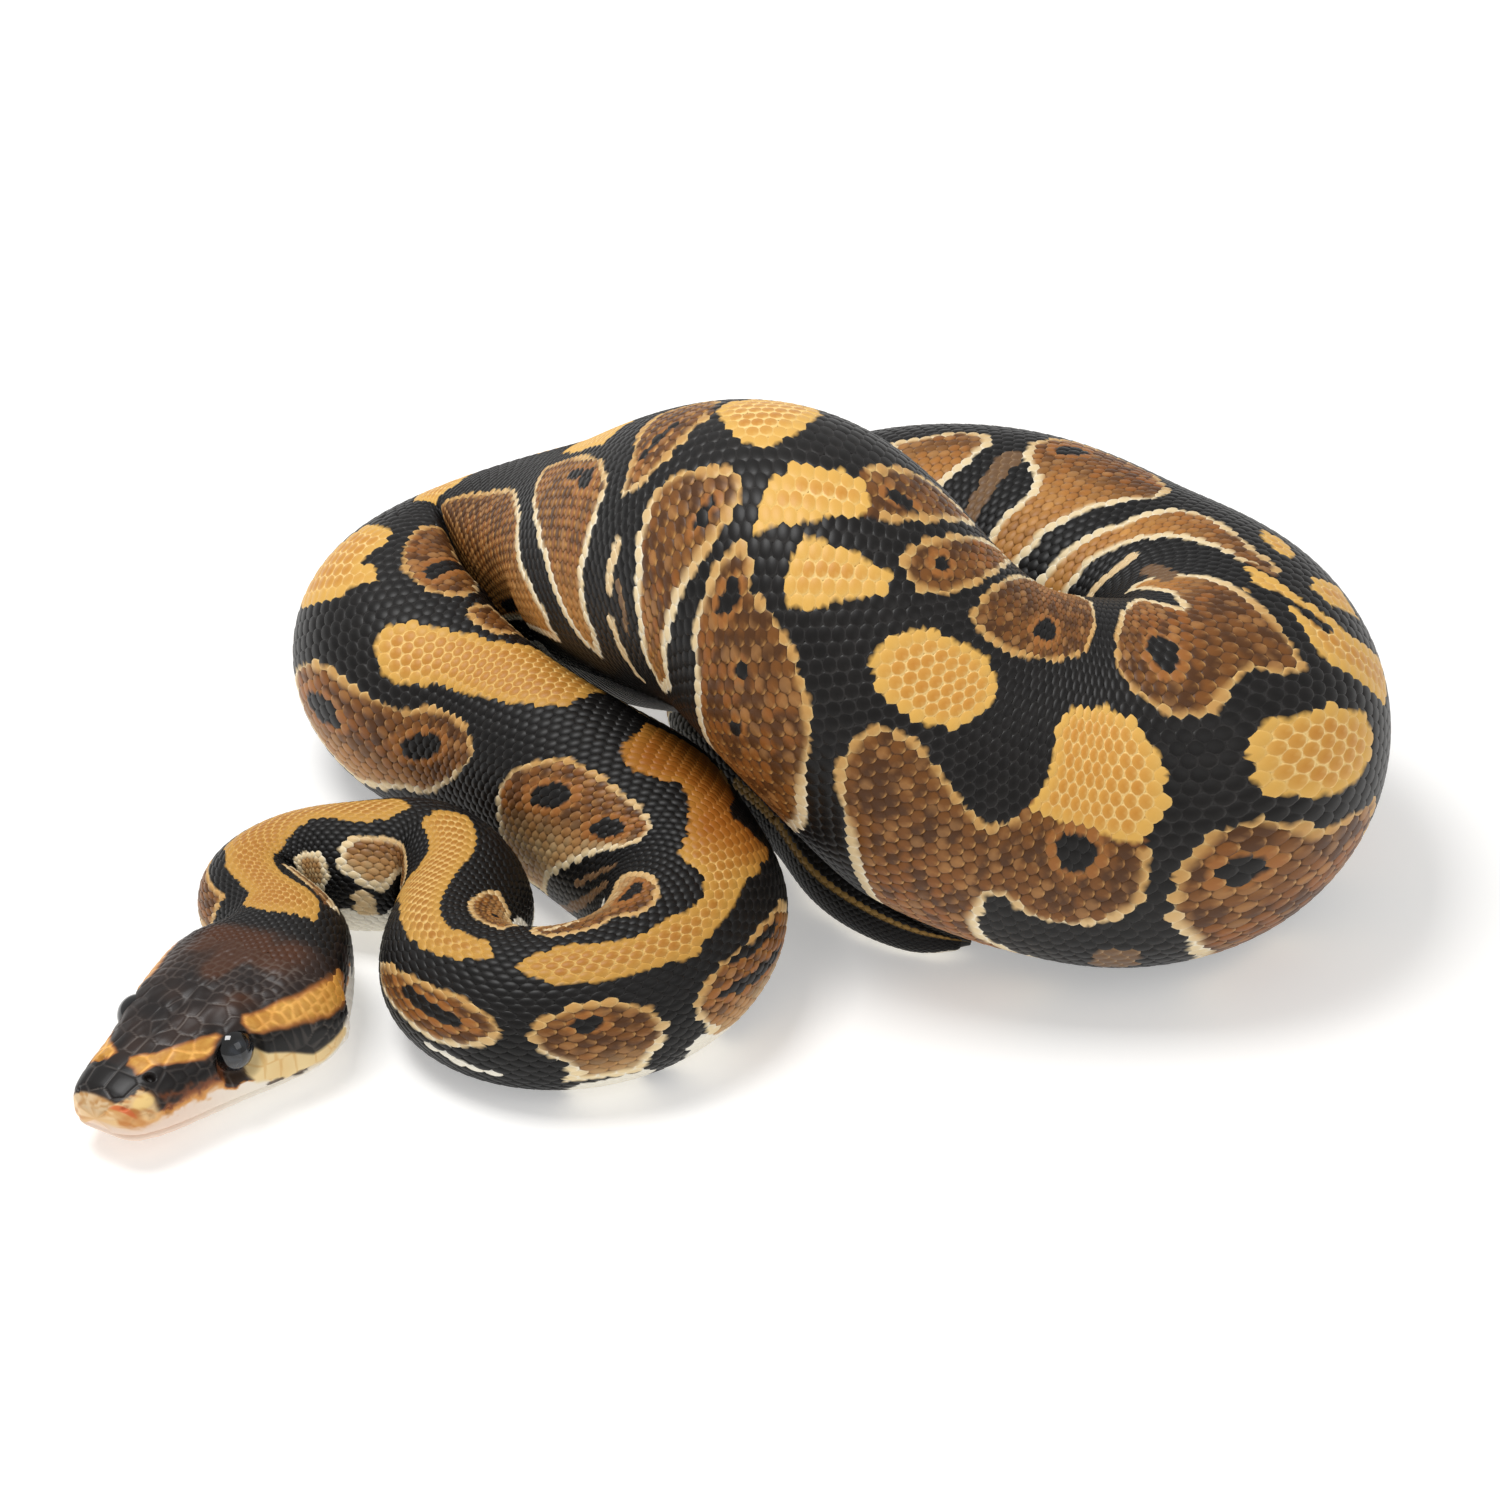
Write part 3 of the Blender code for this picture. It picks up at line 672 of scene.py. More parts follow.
class Coat:
    """The markings of the body, with painted shade and sheen in some of their colours, read as centre, rim
    and tail colours of the scales.
    """

    def __init__(self, hide):
        self.hide = hide
        self.brown = BROWN_MARKS + invented_marks()
        self.gold = GOLD_MARKS + invented_blotches()

    def depth_in(self, marks, distances, degrees):
        """The greatest depth inside any of the marks, in mm."""
        best = np.full(distances.shape, -1e3)
        for outline in marks:
            spread = [corner[0] for corner in outline]
            close = (distances > min(spread) - 4.0) & (distances < max(spread) + 4.0)
            if not close.any():
                continue
            radius = float(self.hide.radius(sum(spread) / len(spread)))
            depth = inside_by(outline, distances[close], degrees[close], radius)
            best[close] = np.maximum(best[close], depth)
        return best

    def spot_depth(self, distances, degrees):
        """1 at the middle of an eye spot, 0 at its edge, negative outside."""
        best = np.full(distances.shape, -9.0)
        for s, angle, long, wide, slant in EYE_SPOTS:
            radius = float(self.hide.radius(s))
            x = distances - s
            y = np.radians(degrees - angle) * radius
            turn = radians(slant)
            along = (x * cos(turn) + y * sin(turn)) / long
            across = (y * cos(turn) - x * sin(turn)) / (radians(wide) * radius)
            best = np.maximum(best, 1.0 - np.sqrt(along ** 2 + across ** 2))
        return best

    def streak_depth(self, streaks, distances, degrees):
        """How far inside any of the streaks each place is, in mm."""
        best = np.full(distances.shape, -9.0)
        for start, end, half in streaks:
            radius = float(self.hide.radius(start[0]))
            first = np.array([start[0], radians(start[1]) * radius])
            run = np.array([end[0], radians(end[1]) * radius]) - first
            x = distances - first[0]
            y = np.radians(degrees) * radius - first[1]
            share = np.clip((x * run[0] + y * run[1]) / (run @ run), 0.0, 1.0)
            best = np.maximum(best, half - np.hypot(x - run[0] * share, y - run[1] * share))
        return best

    def belly_edge(self, distances, degrees):
        """The angle at which the pale belly starts."""
        lane = np.where(degrees >= 0.0, 0.0, 31.0)
        wave = value_noise(distances / 5.5, lane, SEED + 3)
        fine = value_noise(distances / 2.1, lane + 7.0, SEED + 4)
        middle = np.interp(distances, BELLY_PLACES, BELLY_ANGLES)
        for drop, side, stretch in BELLY_DROPS:
            middle = middle + drop * window(distances, *stretch) * (degrees * side > 0.0)
        return middle + 16.0 * (wave - 0.5) + 7.0 * (fine - 0.5)

    def black_tones(self, degrees, front, grain):
        """The dark ground colour, darker on the sides as painted shade, with rims lighter as a painted
        sheen, and deeper at the front.
        """
        # Share of painted shade towards the sides.
        side_shade = step(18.0, 80.0, np.abs(degrees))
        centre = mix(BLACK_LIT_TOP, BLACK_SHADED_SIDE, side_shade) * (0.85 + 0.3 * grain)[..., None]
        rim = mix(BLACK_SHEEN_RIM, BLACK_SHADED_SHEEN_RIM, side_shade) * (0.8 + 0.4 * grain)[..., None]
        centre = centre * (1.0 - 0.12 * front)[..., None]
        rim = rim * (1.0 - 0.22 * front)[..., None]
        return centre, rim, rim.copy()

    def brown_tones(self, distances, degrees, front, grain):
        """The side patches: speckled brown, more orange and then paler lower down."""
        around = np.abs(degrees)
        patchy = value_noise(distances / 9.0, degrees / 24.0, SEED + 6)
        speckle = value_noise(distances * 0.9, degrees * 0.22, SEED + 8)
        flecks = step(0.62, 0.85, value_noise(distances * 1.1, degrees * 0.27, SEED + 10))
        lower = 0.6 * (step(30.0, 80.0, around) - 0.45)
        orange = step(0.42, 0.76, patchy + lower) * (0.45 + 0.55 * speckle)
        centre = mix(BROWN_BODY, BROWN_WARM, orange)
        centre = mix(centre, BROWN_RIM, 0.85 * step(0.42, 0.68, speckle))
        rim = mix(BROWN_RIM, BROWN_BODY, 0.45 * grain)
        # Pale scale tips: partly their own colour, partly a painted highlight.
        tail = mix(BROWN_PALE_TIP_AND_GLINT, BROWN_BODY, 0.5 * speckle)
        start = np.where(degrees > 0.0, 74.0 - 30.0 * front, 52.0)
        fade = step(start, start + 34.0, around) * (0.38 + 0.60 * speckle)
        pale = mix(PALE_LOW_REAR, PALE_LOW_FRONT, front)
        centre = mix(mix(centre, pale, fade), BROWN_FLECK, 0.6 * flecks)
        rim = mix(rim, pale * 1.03, fade * 0.7)
        return centre, rim, tail

    def pale_edged(self, tones, distances, degrees, front, brown, gold):
        """The side patches' tones with the pale rim inside their outline."""
        around = np.abs(degrees)
        wide = 0.55 * step(50.0, 85.0, around)
        edge = step(0.55, 0.0, brown - 0.5 - wide) * (gold < -1.4)
        low = step(35.0, 72.0, around + 10.0 * front)
        low = low * (1.0 - 0.65 * step(175.0, 160.0, distances) * (degrees < 0.0))
        inner = mix(EDGE_TAN, EDGE_TAN_LOW, low)
        outer = mix(CREAM_EDGE, CREAM_EDGE_LOW, low)
        return [mix(tone, goal, edge) for tone, goal in zip(tones, (inner, outer, outer))]

    def gold_tones(self, distances, front, grain, gold):
        """The back blotches: amber scales with pale rims, with painted shade where they run under the hump.
        """
        deep = step(0.5, 2.4, gold)
        # Painted shade of the hump on the gold under it: darker scales, and rims dulled towards the
        # centres.
        hump_shade = window(distances, 160.0, 168.0, 190.0, 202.0)
        centre = mix(GOLD_BODY, GOLD_CENTRE, deep * (0.7 + 0.4 * grain))
        centre = tinted(centre, FRONT_GOLD_TINT, front)
        rim = mix(GOLD_BODY, GOLD_RIM, 0.3 + 0.6 * deep)
        rim = mix(tinted(rim, FRONT_RIM_TINT, front), centre, 0.6 * hump_shade)
        centre = tinted(centre, HUMP_SHADE_TINT, hump_shade)
        rim = tinted(rim, HUMP_SHADE_TINT, hump_shade)
        return centre, rim, rim

    def add_small_marks(self, layers, distances, degrees, brown):
        """Dark bars, eye spots and streaks."""
        dark = self.depth_in(DARK_MARKS, distances, degrees)
        halo = (dark > -1.3) & (dark <= 0.0) & (brown > -1.0)
        paint(layers, (EDGE_TAN, CREAM_EDGE, CREAM_EDGE), halo)
        # Dark bars take the darker side black, with rims lighter as a painted sheen.
        paint(layers, (BLACK_SHADED_SIDE, BLACK_SHADED_SHEEN_RIM, BLACK_SHADED_SHEEN_RIM), dark > 0.0)
        spot = self.spot_depth(distances, degrees)
        ring = (spot > -0.55) & (spot <= MARK_EDGE) & (brown > 1.2)
        paint(layers, SPOT_RING_TONES, ring)
        # Eye spots take the lit top black, with rims and tails lighter as a painted sheen.
        paint(layers, (BLACK_LIT_TOP, BLACK_SHADED_SHEEN_RIM, BLACK_SHEEN_RIM), spot > MARK_EDGE)
        for streaks, tones in ((PALE_STREAKS, PALE_STREAK_TONES),
                               (BROWN_STREAKS, BROWN_STREAK_TONES)):
            inside = self.streak_depth(streaks, distances, degrees) > STREAK_EDGE
            paint(layers, tones, inside)

    def add_belly(self, layers, distances, degrees):
        """Pale belly with its flares, and the thin line along each side of the tail."""
        under = np.abs(degrees) > self.belly_edge(distances, degrees)
        flares = self.depth_in(WHITE_MARKS, distances, degrees) > 0.0
        paint(layers, (BELLY, BELLY_RIM, BELLY_TIP), under | flares)
        line = (distances > TAIL_START) & (np.abs(np.abs(degrees) - 62.0) < 5.0)
        paint(layers, TAIL_LINE_TONES, line)

    def read(self, distances, degrees):
        """Centre, rim and tail colours of the scales at each place."""
        distances = np.asarray(distances, float)
        degrees = np.asarray(degrees, float)
        grain = value_noise(distances * 1.3, degrees * 0.31, SEED + 5)
        front = step(260.0, 180.0, distances)
        brown = self.depth_in(self.brown, distances, degrees)
        gold = self.depth_in(self.gold, distances, degrees)
        layers = self.black_tones(degrees, front, grain)
        patches = self.brown_tones(distances, degrees, front, grain)
        patches = self.pale_edged(patches, distances, degrees, front, brown, gold)
        paint(layers, patches, brown > MARK_EDGE)
        paint(layers, self.gold_tones(distances, front, grain, gold), gold > MARK_EDGE)
        self.add_small_marks(layers, distances, degrees, brown)
        self.add_belly(layers, distances, degrees)
        nape = distances < NAPE_END + 0.8 * (grain - 0.5)
        if nape.any():
            crown = head_tones(distances, degrees, np.full(distances.shape, 9.0))
            lit = crown * 1.12 + 7.0
            paint(layers, (crown, lit, lit), nape)
        return layers


def paint(layers, tones, where):
    """Repaints some places of the three colour layers."""
    for layer, tone in zip(layers, tones):
        layer[:] = np.where(where[..., None], np.asarray(tone, float), layer)


# ---- unwrap ----
HEAD_SHARE = 0.26
UNWRAP_MARGIN = 0.004
# Size of one scale's patch on the unwrap, along and across.
PATCH = np.array([0.0012, 0.0014])


def unwrap(distances, degrees, length):
    """A place on the flat unwrap of the skin, the head enlarged."""
    distances = np.asarray(distances, float)
    front = HEAD_SHARE * distances / HEAD_END
    back = HEAD_SHARE + (1.0 - HEAD_SHARE) * (distances - HEAD_END) / (length - HEAD_END)
    u = np.where(distances < HEAD_END, front, back)
    v = (np.asarray(degrees, float) + 180.0) / 360.0
    flat = np.stack([np.clip(u, 0.0, 1.0), v], axis=-1)
    return UNWRAP_MARGIN + (1.0 - 2.0 * UNWRAP_MARGIN) * flat


# ---- meshes ----
def build_mesh(name, points, triangles, tones, flat, material, sharp=None):
    """A mesh object from arrays: points in mm, colours per point, unwrap per corner."""
    data = bpy.data.meshes.new(name)
    data.vertices.add(len(points))
    data.vertices.foreach_set("co", (points * MM).astype(np.float32).ravel())
    data.loops.add(triangles.size)
    data.loops.foreach_set("vertex_index", triangles.astype(np.int32).ravel())
    data.polygons.add(len(triangles))
    data.polygons.foreach_set("loop_start", np.arange(0, triangles.size, 3, dtype=np.int32))
    data.update(calc_edges=True)
    data.validate()
    colours = data.attributes.new("tone", "FLOAT_COLOR", "POINT")
    rgba = np.ones((len(points), 4), np.float32)
    rgba[:, :3] = linear(tones)
    colours.data.foreach_set("color", rgba.ravel())
    layer = data.uv_layers.new(name="OFBake")
    layer.data.foreach_set("uv", flat.astype(np.float32).ravel())
    data.materials.append(material)
    data.shade_smooth()
    if sharp:
        data.set_sharp_from_angle(angle=radians(sharp))
    piece = bpy.data.objects.new(name, data)
    bpy.context.scene.collection.objects.link(piece)
    return piece


def tube_faces(rows, columns, first=0):
    """Triangles of a tube made of rings, numbered on from first."""
    index = first + np.arange(rows * columns).reshape(rows, columns)
    a = index[:-1]
    b = np.roll(a, -1, axis=1)
    c = index[1:]
    d = np.roll(c, -1, axis=1)
    return np.concatenate([np.stack([a, c, d], axis=-1).reshape(-1, 3),
                           np.stack([a, d, b], axis=-1).reshape(-1, 3)])


def fan_faces(pole, ring):
    """Triangles from one point to a closed ring."""
    return np.stack([np.full(len(ring), pole), ring, np.roll(ring, -1)], axis=1)


def repeated(faces, count, size):
    """The same triangles for each of count copies with size points."""
    return (faces[None] + (np.arange(count) * size)[:, None, None]).reshape(-1, 3)


# ---- materials ----
# Roughness and specular of each surface, for the eye also the weight and roughness of its coat.
SCALE_SURFACE = (0.40, 0.22)
HIDE_SURFACE = (0.38, 0.26)
EYE_SURFACE = (0.05, 0.4, 0.6, 0.02)
WHITE = (1.0, 1.0, 1.0, 1.0)
FLOOR_TONE = (0.78, 0.77, 0.75, 1.0)
FLOOR_ROUGHNESS = 0.9
FLOOR_GLOW = 0.36


def tone_material(name, roughness, specular, coat=0.0, coat_roughness=0.1):
    """A surface that takes its colour from the markings held on the mesh."""
    material = bpy.data.materials.new(name)
    material.use_nodes = True
    nodes = material.node_tree.nodes
    shader = nodes["Principled BSDF"]
    tone = nodes.new("ShaderNodeAttribute")
    tone.attribute_name = "tone"
    material.node_tree.links.new(tone.outputs["Color"], shader.inputs["Base Color"])
    shader.inputs["Roughness"].default_value = roughness
    shader.inputs["Specular IOR Level"].default_value = specular
    shader.inputs["Coat Weight"].default_value = coat
    shader.inputs["Coat Roughness"].default_value = coat_roughness
    return material


def floor_material():
    """Pale floor with a little light of its own, so that it stays white to its edge."""
    material = bpy.data.materials.new("floor_white")
    material.use_nodes = True
    shader = material.node_tree.nodes["Principled BSDF"]
    shader.inputs["Base Color"].default_value = FLOOR_TONE
    shader.inputs["Roughness"].default_value = FLOOR_ROUGHNESS
    shader.inputs["Emission Color"].default_value = WHITE
    shader.inputs["Emission Strength"].default_value = FLOOR_GLOW
    return material


# ---- scales ----
# Length of one scale along the body, in mm, by distance behind the snout.
PITCH_PLACES = (33.0, 40.0, 52.0, 100.0, 180.0, 300.0, 328.0, 346.0, 400.0, 450.0, 520.0, 560.0,
                590.0)
PITCHES = (1.15, 1.25, 1.5, 1.6, 1.7, 1.6, 1.35, 1.42, 1.55, 1.66, 1.6, 1.25, 0.9)
# Scales of at least this length have the full height.
FULL_PITCH = 1.85
# Rings of one scale: share of its outline and depth in mm at full size.
SCALE_RINGS = ((INNER_SHARE, 0.05), (RIM_SHARE, 0.16), (1.0, 0.33))
SCALE_TOP = 0.02
SCALE_ROOT = 0.56
SCALE_TILT = 0.08
LIFT = 0.03
# The first scales behind the head's plates lie this much deeper.
FRONT_SINK = 0.16
FRONT_SINK_END = SCALE_START + 3.5
SHARP_ANGLE = 50
END_MARGIN = 1.6
JITTER_ALONG = 0.06
JITTER_ROUND = 0.2
# Share of a scale's length over which its tail colour comes in.
REAR_FADE = (0.74, 0.95)
# Shares of the tail and centre colours on the innermost ring of a scale.
INNER_REAR = 0.35
INNER_CENTRE = 0.85


def pitch_at(distances):
    """Length of one scale along the body, in mm."""
    return np.interp(distances, PITCH_PLACES, PITCHES)


def relief_at(pitch):
    """Height of small scales as a share of the full height."""
    return np.minimum(pitch / FULL_PITCH, 1.0)


def scale_places(length):
    """Distances of successive scales along the body."""
    places = [SCALE_START]
    while places[-1] < length - 2.0 * END_MARGIN:
        places.append(places[-1] + float(pitch_at(places[-1])))
    return np.array(places)


def scale_lattice(length):
    """Staggered rows of scales: distance, angle and row spacing of each."""
    along = scale_places(length)
    centres = []
    for start, end, rows in ROW_ZONES:
        row_step = SCALE_SPAN / (rows - 1)
        zone = along[(along >= start) & (along < end)]
        for row in range(rows):
            angle = -SCALE_SPAN / 2.0 + row * row_step
            here = zone + (0.5 if row % 2 else 0.0) * pitch_at(zone)
            columns = [here, np.full(len(here), angle), np.full(len(here), row_step)]
            centres.append(np.stack(columns, axis=1))
    centres = np.concatenate(centres)
    dice = np.random.default_rng(SEED + 9)
    centres[:, 0] += dice.uniform(-JITTER_ALONG, JITTER_ALONG, len(centres))
    centres[:, 1] += dice.uniform(-JITTER_ROUND, JITTER_ROUND, len(centres))
    return centres


def scale_template():
    """Unit scale: rings of (along, across, depth) and its triangles."""
    turns = np.arange(OUTLINE) * 2.0 * pi / OUTLINE
    c = np.cos(turns)
    s = np.sin(turns)
    reach = (np.abs(c) ** OUTLINE_POWER + np.abs(s) ** OUTLINE_POWER) ** (-1.0 / OUTLINE_POWER)
    edge = np.stack([c * reach, s * reach], axis=1)
    rows = [np.array([[0.0, 0.0, SCALE_TOP]])]
    for share, depth in SCALE_RINGS:
        rows.append(np.concatenate([edge * share, np.full((OUTLINE, 1), depth)], axis=1))
    rows.append(np.array([[0.0, 0.0, SCALE_ROOT]]))
    points = np.concatenate(rows)
    points[:-1, 2] -= SCALE_TILT * points[:-1, 0]
    rings = len(SCALE_RINGS)
    first = 1 + np.arange(OUTLINE)
    last = first + (rings - 1) * OUTLINE
    root = fan_faces(len(points) - 1, last)[:, ::-1]
    return points, np.concatenate([fan_faces(0, first), tube_faces(rings, OUTLINE, 1), root])


def scale_tones(coat, group, s, angle, shape):
    """Colours of every point of some scales: centre, rim and the tip that points to the tail."""
    near_s = group[:, 0][:, None] + (s - group[:, 0][:, None]) * MARK_SHARPNESS
    near_a = group[:, 1][:, None] + (angle - group[:, 1][:, None]) * MARK_SHARPNESS
    centre, rim, tail = coat.read(near_s, near_a)
    shares = np.repeat([share for share, _ in SCALE_RINGS], OUTLINE)
    rear = step(*REAR_FADE, shape[1:-1, 0] / shares)
    rear[:OUTLINE] *= INNER_REAR
    middle = np.zeros(len(shape))
    middle[0] = 1.0
    middle[1:1 + OUTLINE] = INNER_CENTRE
    return mix(mix(rim, centre, middle), tail, np.concatenate([[0.0], rear, [0.0]]))


def scale_pieces(hide, coat, material, length):
    """All the scales of the body, joined into a few pieces by length."""
    centres = scale_lattice(length)
    shape, faces = scale_template()
    pieces = []
    for number, (low, high) in enumerate(zip(COAT_PIECES, COAT_PIECES[1:]), 1):
        group = centres[(centres[:, 0] >= low) & (centres[:, 0] < high)]
        count = len(group)
        pitch = pitch_at(group[:, 0])
        s = group[:, 0][:, None] + shape[None, :, 0] * HALF_LENGTH * pitch[:, None]
        s = np.clip(s, 0.0, length - END_MARGIN)
        angle = group[:, 1][:, None] + shape[None, :, 1] * HALF_WIDTH * group[:, 2][:, None]
        sunk = FRONT_SINK * step(FRONT_SINK_END, SCALE_START, group[:, 0])
        depth = LIFT + shape[None, :, 2] * relief_at(pitch)[:, None] + sunk[:, None]
        points = hide.place(s, angle, depth)
        above_floor(points, SCALE_FLOOR)
        tones = scale_tones(coat, group, s, angle, shape)
        root = unwrap(group[:, 0], group[:, 1], length)
        patch = (shape[None, :, :2] * PATCH + root[:, None, :]).reshape(-1, 2)
        triangles = repeated(faces, count, len(shape))
        piece = build_mesh("scales_%02d" % number, points.reshape(-1, 3), triangles,
                           tones.reshape(-1, 3), patch[triangles.ravel()], material, SHARP_ANGLE)
        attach(piece, "root")
        pieces.append(piece)
    return pieces


# ---- belly scutes ----
SCUTE_START = 36.0
SCUTE_COLUMNS = 13
SCUTE_OVERLAP = 3.0
SCUTE_EDGE_DIP = 0.12
SCUTE_ROOT = 0.5
# The angle on the unwrap where the scutes' patches lie.
SCUTE_UNWRAP = 178.0
# Stretch under the hump where the left ends of the scutes are dark.
DARK_SCUTES = (280.0, 288.0, 348.0, 356.0)
# Cross lines of one scute: place along it in pitches, and depth in mm at full size.
SCUTE_ROWS = ((-0.62, 0.44), (-0.2, 0.2), (0.35, 0.10), (0.62, 0.14), (0.66, 0.34))


def scute_faces():
    """Triangles of one scute: its top and the fan that closes it underneath."""
    grid = np.arange(len(SCUTE_ROWS) * SCUTE_COLUMNS).reshape(-1, SCUTE_COLUMNS)
    a = grid[:-1, :-1].ravel()
    top = [np.stack([a, a + 1, a + SCUTE_COLUMNS + 1], axis=1),
           np.stack([a, a + SCUTE_COLUMNS + 1, a + SCUTE_COLUMNS], axis=1)]
    rim = np.concatenate([grid[0], grid[1:, -1], grid[-1, -2::-1], grid[-2:0:-1, 0]])
    return np.concatenate(top + [fan_faces(grid.size, rim)[:, ::-1]])


def belly_scutes(hide, material, length):
    """One broad plate under each ring of scales, from the throat to the tail."""
    along = scale_places(length)
    s = along[along > SCUTE_START]
    pitch = pitch_at(s)
    across = np.tile(np.linspace(-1.0, 1.0, SCUTE_COLUMNS), len(SCUTE_ROWS))
    forward, dip = np.repeat(SCUTE_ROWS, SCUTE_COLUMNS, axis=0).T
    half = 180.0 - SCALE_SPAN / 2.0 + SCUTE_OVERLAP
    place_s = np.clip(s[:, None] + forward * pitch[:, None], 0.0, length - END_MARGIN)
    place_a = np.broadcast_to(180.0 + across * half, place_s.shape)
    depth = dip * relief_at(pitch)[:, None] + SCUTE_EDGE_DIP * np.abs(across) ** 6 + LIFT
    top = hide.place(place_s, place_a, depth)
    root = hide.place(s, np.full(len(s), 180.0), np.full(len(s), SCUTE_ROOT))
    points = np.concatenate([top, root[:, None]], axis=1)
    above_floor(points, SCUTE_FLOOR)
    shade = np.array(BELLY) * (0.97 + 0.03 * np.sin(s * 1.7))[:, None, None]
    under_hump = window(s, *DARK_SCUTES)[:, None]
    dark = np.append(step(0.30, 0.05, across), 0.0) * under_hump
    # The dark ends take the rim colour of the black sides, which carries a painted sheen.
    tones = mix(shade, BLACK_SHADED_SHEEN_RIM, dark)
    local = np.append(np.stack([forward, across], axis=1), [[0.0, 0.0]], axis=0)
    flat = unwrap(s, np.full(len(s), SCUTE_UNWRAP), length)[:, None] + local * PATCH
    triangles = repeated(scute_faces(), len(s), points.shape[1])
    piece = build_mesh("belly_scutes", points.reshape(-1, 3), triangles, tones.reshape(-1, 3),
                       flat.reshape(-1, 2)[triangles.ravel()], material, SHARP_ANGLE)
    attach(piece, "root")
    return piece


# ---- head plates ----
# Middles of the head's plates on one side: distance, angle, extra reach in mm.
PLATE_SEEDS = (
    (0.6, 0, 0.6), (0.8, 62, 0.3), (3.6, 24, 0.6), (3.4, 60, 0.2), (7.2, 18, 0.3), (7.0, 45, 0.0),
    (10.4, 10, 0.1), (10.6, 30, 0.3), (11.2, 52, 0.2), (13.2, 20, 0.2), (13.6, 40, 0.0), (14.4, 4, 0.0),
    (15.6, 54, 0.1), (16.6, 30, 0.4), (16.4, 14, 0.1), (19.6, 36, 0.9), (19.4, 18, 0.5), (18.8, 3, 0.2),
    (22.6, 48, 0.2), (22.2, 28, 0.3), (22.0, 10, 0.3), (17.6, 46, 0.1),
)
LABIAL_START = 2.6
LABIAL_STEP = 2.5
LABIAL_COUNT = 11
# The cheek's rows between eye and lip: angle, and how far the row is set back in mm.
CHEEK_ROWS = ((66.0, 0.0), (78.0, 0.9))
# Size in mm of the small scales behind the plates, by distance behind the snout.
TEMPLE_PLACES = (20.0, 26.0, 34.0)
TEMPLE_SIZES = (2.3, 1.7, 1.15)
# Degrees from one throat scale to the next.
THROAT_TURN = 13.0
# Depth and half-width of the grooves between plates and of the mouth line, in mm.
PLATE_GROOVE = 0.08
PLATE_HALF = 0.14
MOUTH_DEPTH = 0.55
MOUTH_HALF = 0.26
RELIEF_BASE = 0.05
# Nostril and lip pits of one side: distance, angle, mm per degree, depth, outer and inner radius.
HEAD_PITS = (
    (6.7, 47.0, 0.09, 0.9, 0.75, 0.25),
    (1.5, 62.0, 0.1, 0.4, 0.6, 0.2),
    (3.9, 84.0, 0.1, 0.4, 0.6, 0.2),
    (6.4, 92.0, 0.1, 0.4, 0.6, 0.2),
)


def mouth_height(distances):
    """Height of the mouth line over the head axis, in mm."""
    rows = np.array(MOUTH_LINE)
    return -np.interp(distances, rows[:, 0], rows[:, 1])


def head_width(distances):
    """Half the width of the head, in mm."""
    rows = np.array(HEAD_PROFILE)
    return np.interp(distances, rows[:, 0], rows[:, 1])


def crown_seeds():
    """The large plates of the crown, on both sides."""
    places = []
    for s, angle, extra in PLATE_SEEDS:
        places.append((s, angle, extra))
        if angle != 0:
            places.append((s, -angle, extra))
    return places


def lip_seeds():
    """The plates along both lips and the cheek scales above them."""
    places = []
    for side in (-1.0, 1.0):
        for s in LABIAL_START + np.arange(LABIAL_COUNT) * LABIAL_STEP:
            tall = mouth_height(s)
            wide = head_width(s)
            upper = np.degrees(np.arctan2(wide, tall + 1.3))
            lower = np.degrees(np.arctan2(wide * 0.96, tall - 1.5))
            places.append((s, side * upper, 0.25))
            places.append((s, side * lower, 0.25))
    for s in np.arange(8.0, 17.0, 1.9):
        for angle, back in CHEEK_ROWS:
            for side in (-1.0, 1.0):
                places.append((s + back, side * angle, -0.1))
    return places


def temple_seeds():
    """The small scales behind the eyes and over the nape, in staggered rows."""
    dice = np.random.default_rng(SEED + 12)
    places = []
    row = 0
    s = 20.6
    while s < SCALE_START + 6.0:
        size = float(np.interp(s, TEMPLE_PLACES, TEMPLE_SIZES))
        wild = 0.16 * size
        turn = np.degrees(size * 1.05 / 11.0)
        angle = (0.5 if row % 2 else 0.0) * turn + (56.0 if s < 23.6 else 0.0)
        lowest = 84.0 if s < 31.0 else 120.0
        while angle < lowest:
            for side in ((1.0, -1.0) if angle > 0.5 else (1.0,)):
                place = s + dice.uniform(-wild, wild)
                places.append((place, side * angle + dice.uniform(-2.0, 2.0), 0.0))
            angle += turn
        s += size * 0.86
        row += 1
    return places


def throat_seeds():
    """Staggered scales under the chin and the throat."""
    places = []
    for row, s in enumerate(np.arange(4.0, 40.0, 1.9)):
        for k in range(8):
            angle = 132.0 + k * THROAT_TURN + (THROAT_TURN * 0.5 if row % 2 else 0.0)
            if angle < 232.0:
                places.append((s, angle if angle <= 180.0 else angle - 360.0, 0.1))
    return places


def head_seeds(hide):
    """The middle of every plate of the head, as a point, and its extra reach in mm."""
    places = np.array(crown_seeds() + lip_seeds() + temple_seeds() + throat_seeds())
    return hide.place(places[:, 0], places[:, 1], np.zeros(len(places))), places[:, 2]


def plate_edges(points, seeds, reach):
    """For each point, how far it is from the line between its two nearest plates."""
    first = np.full(len(points), np.inf)
    second = np.full(len(points), np.inf)
    for seed, extra in zip(seeds, reach):
        gap = np.linalg.norm(points - seed, axis=1) - extra
        second = np.where(gap < first, first, np.minimum(second, gap))
        first = np.minimum(first, gap)
    return (second - first) * 0.5


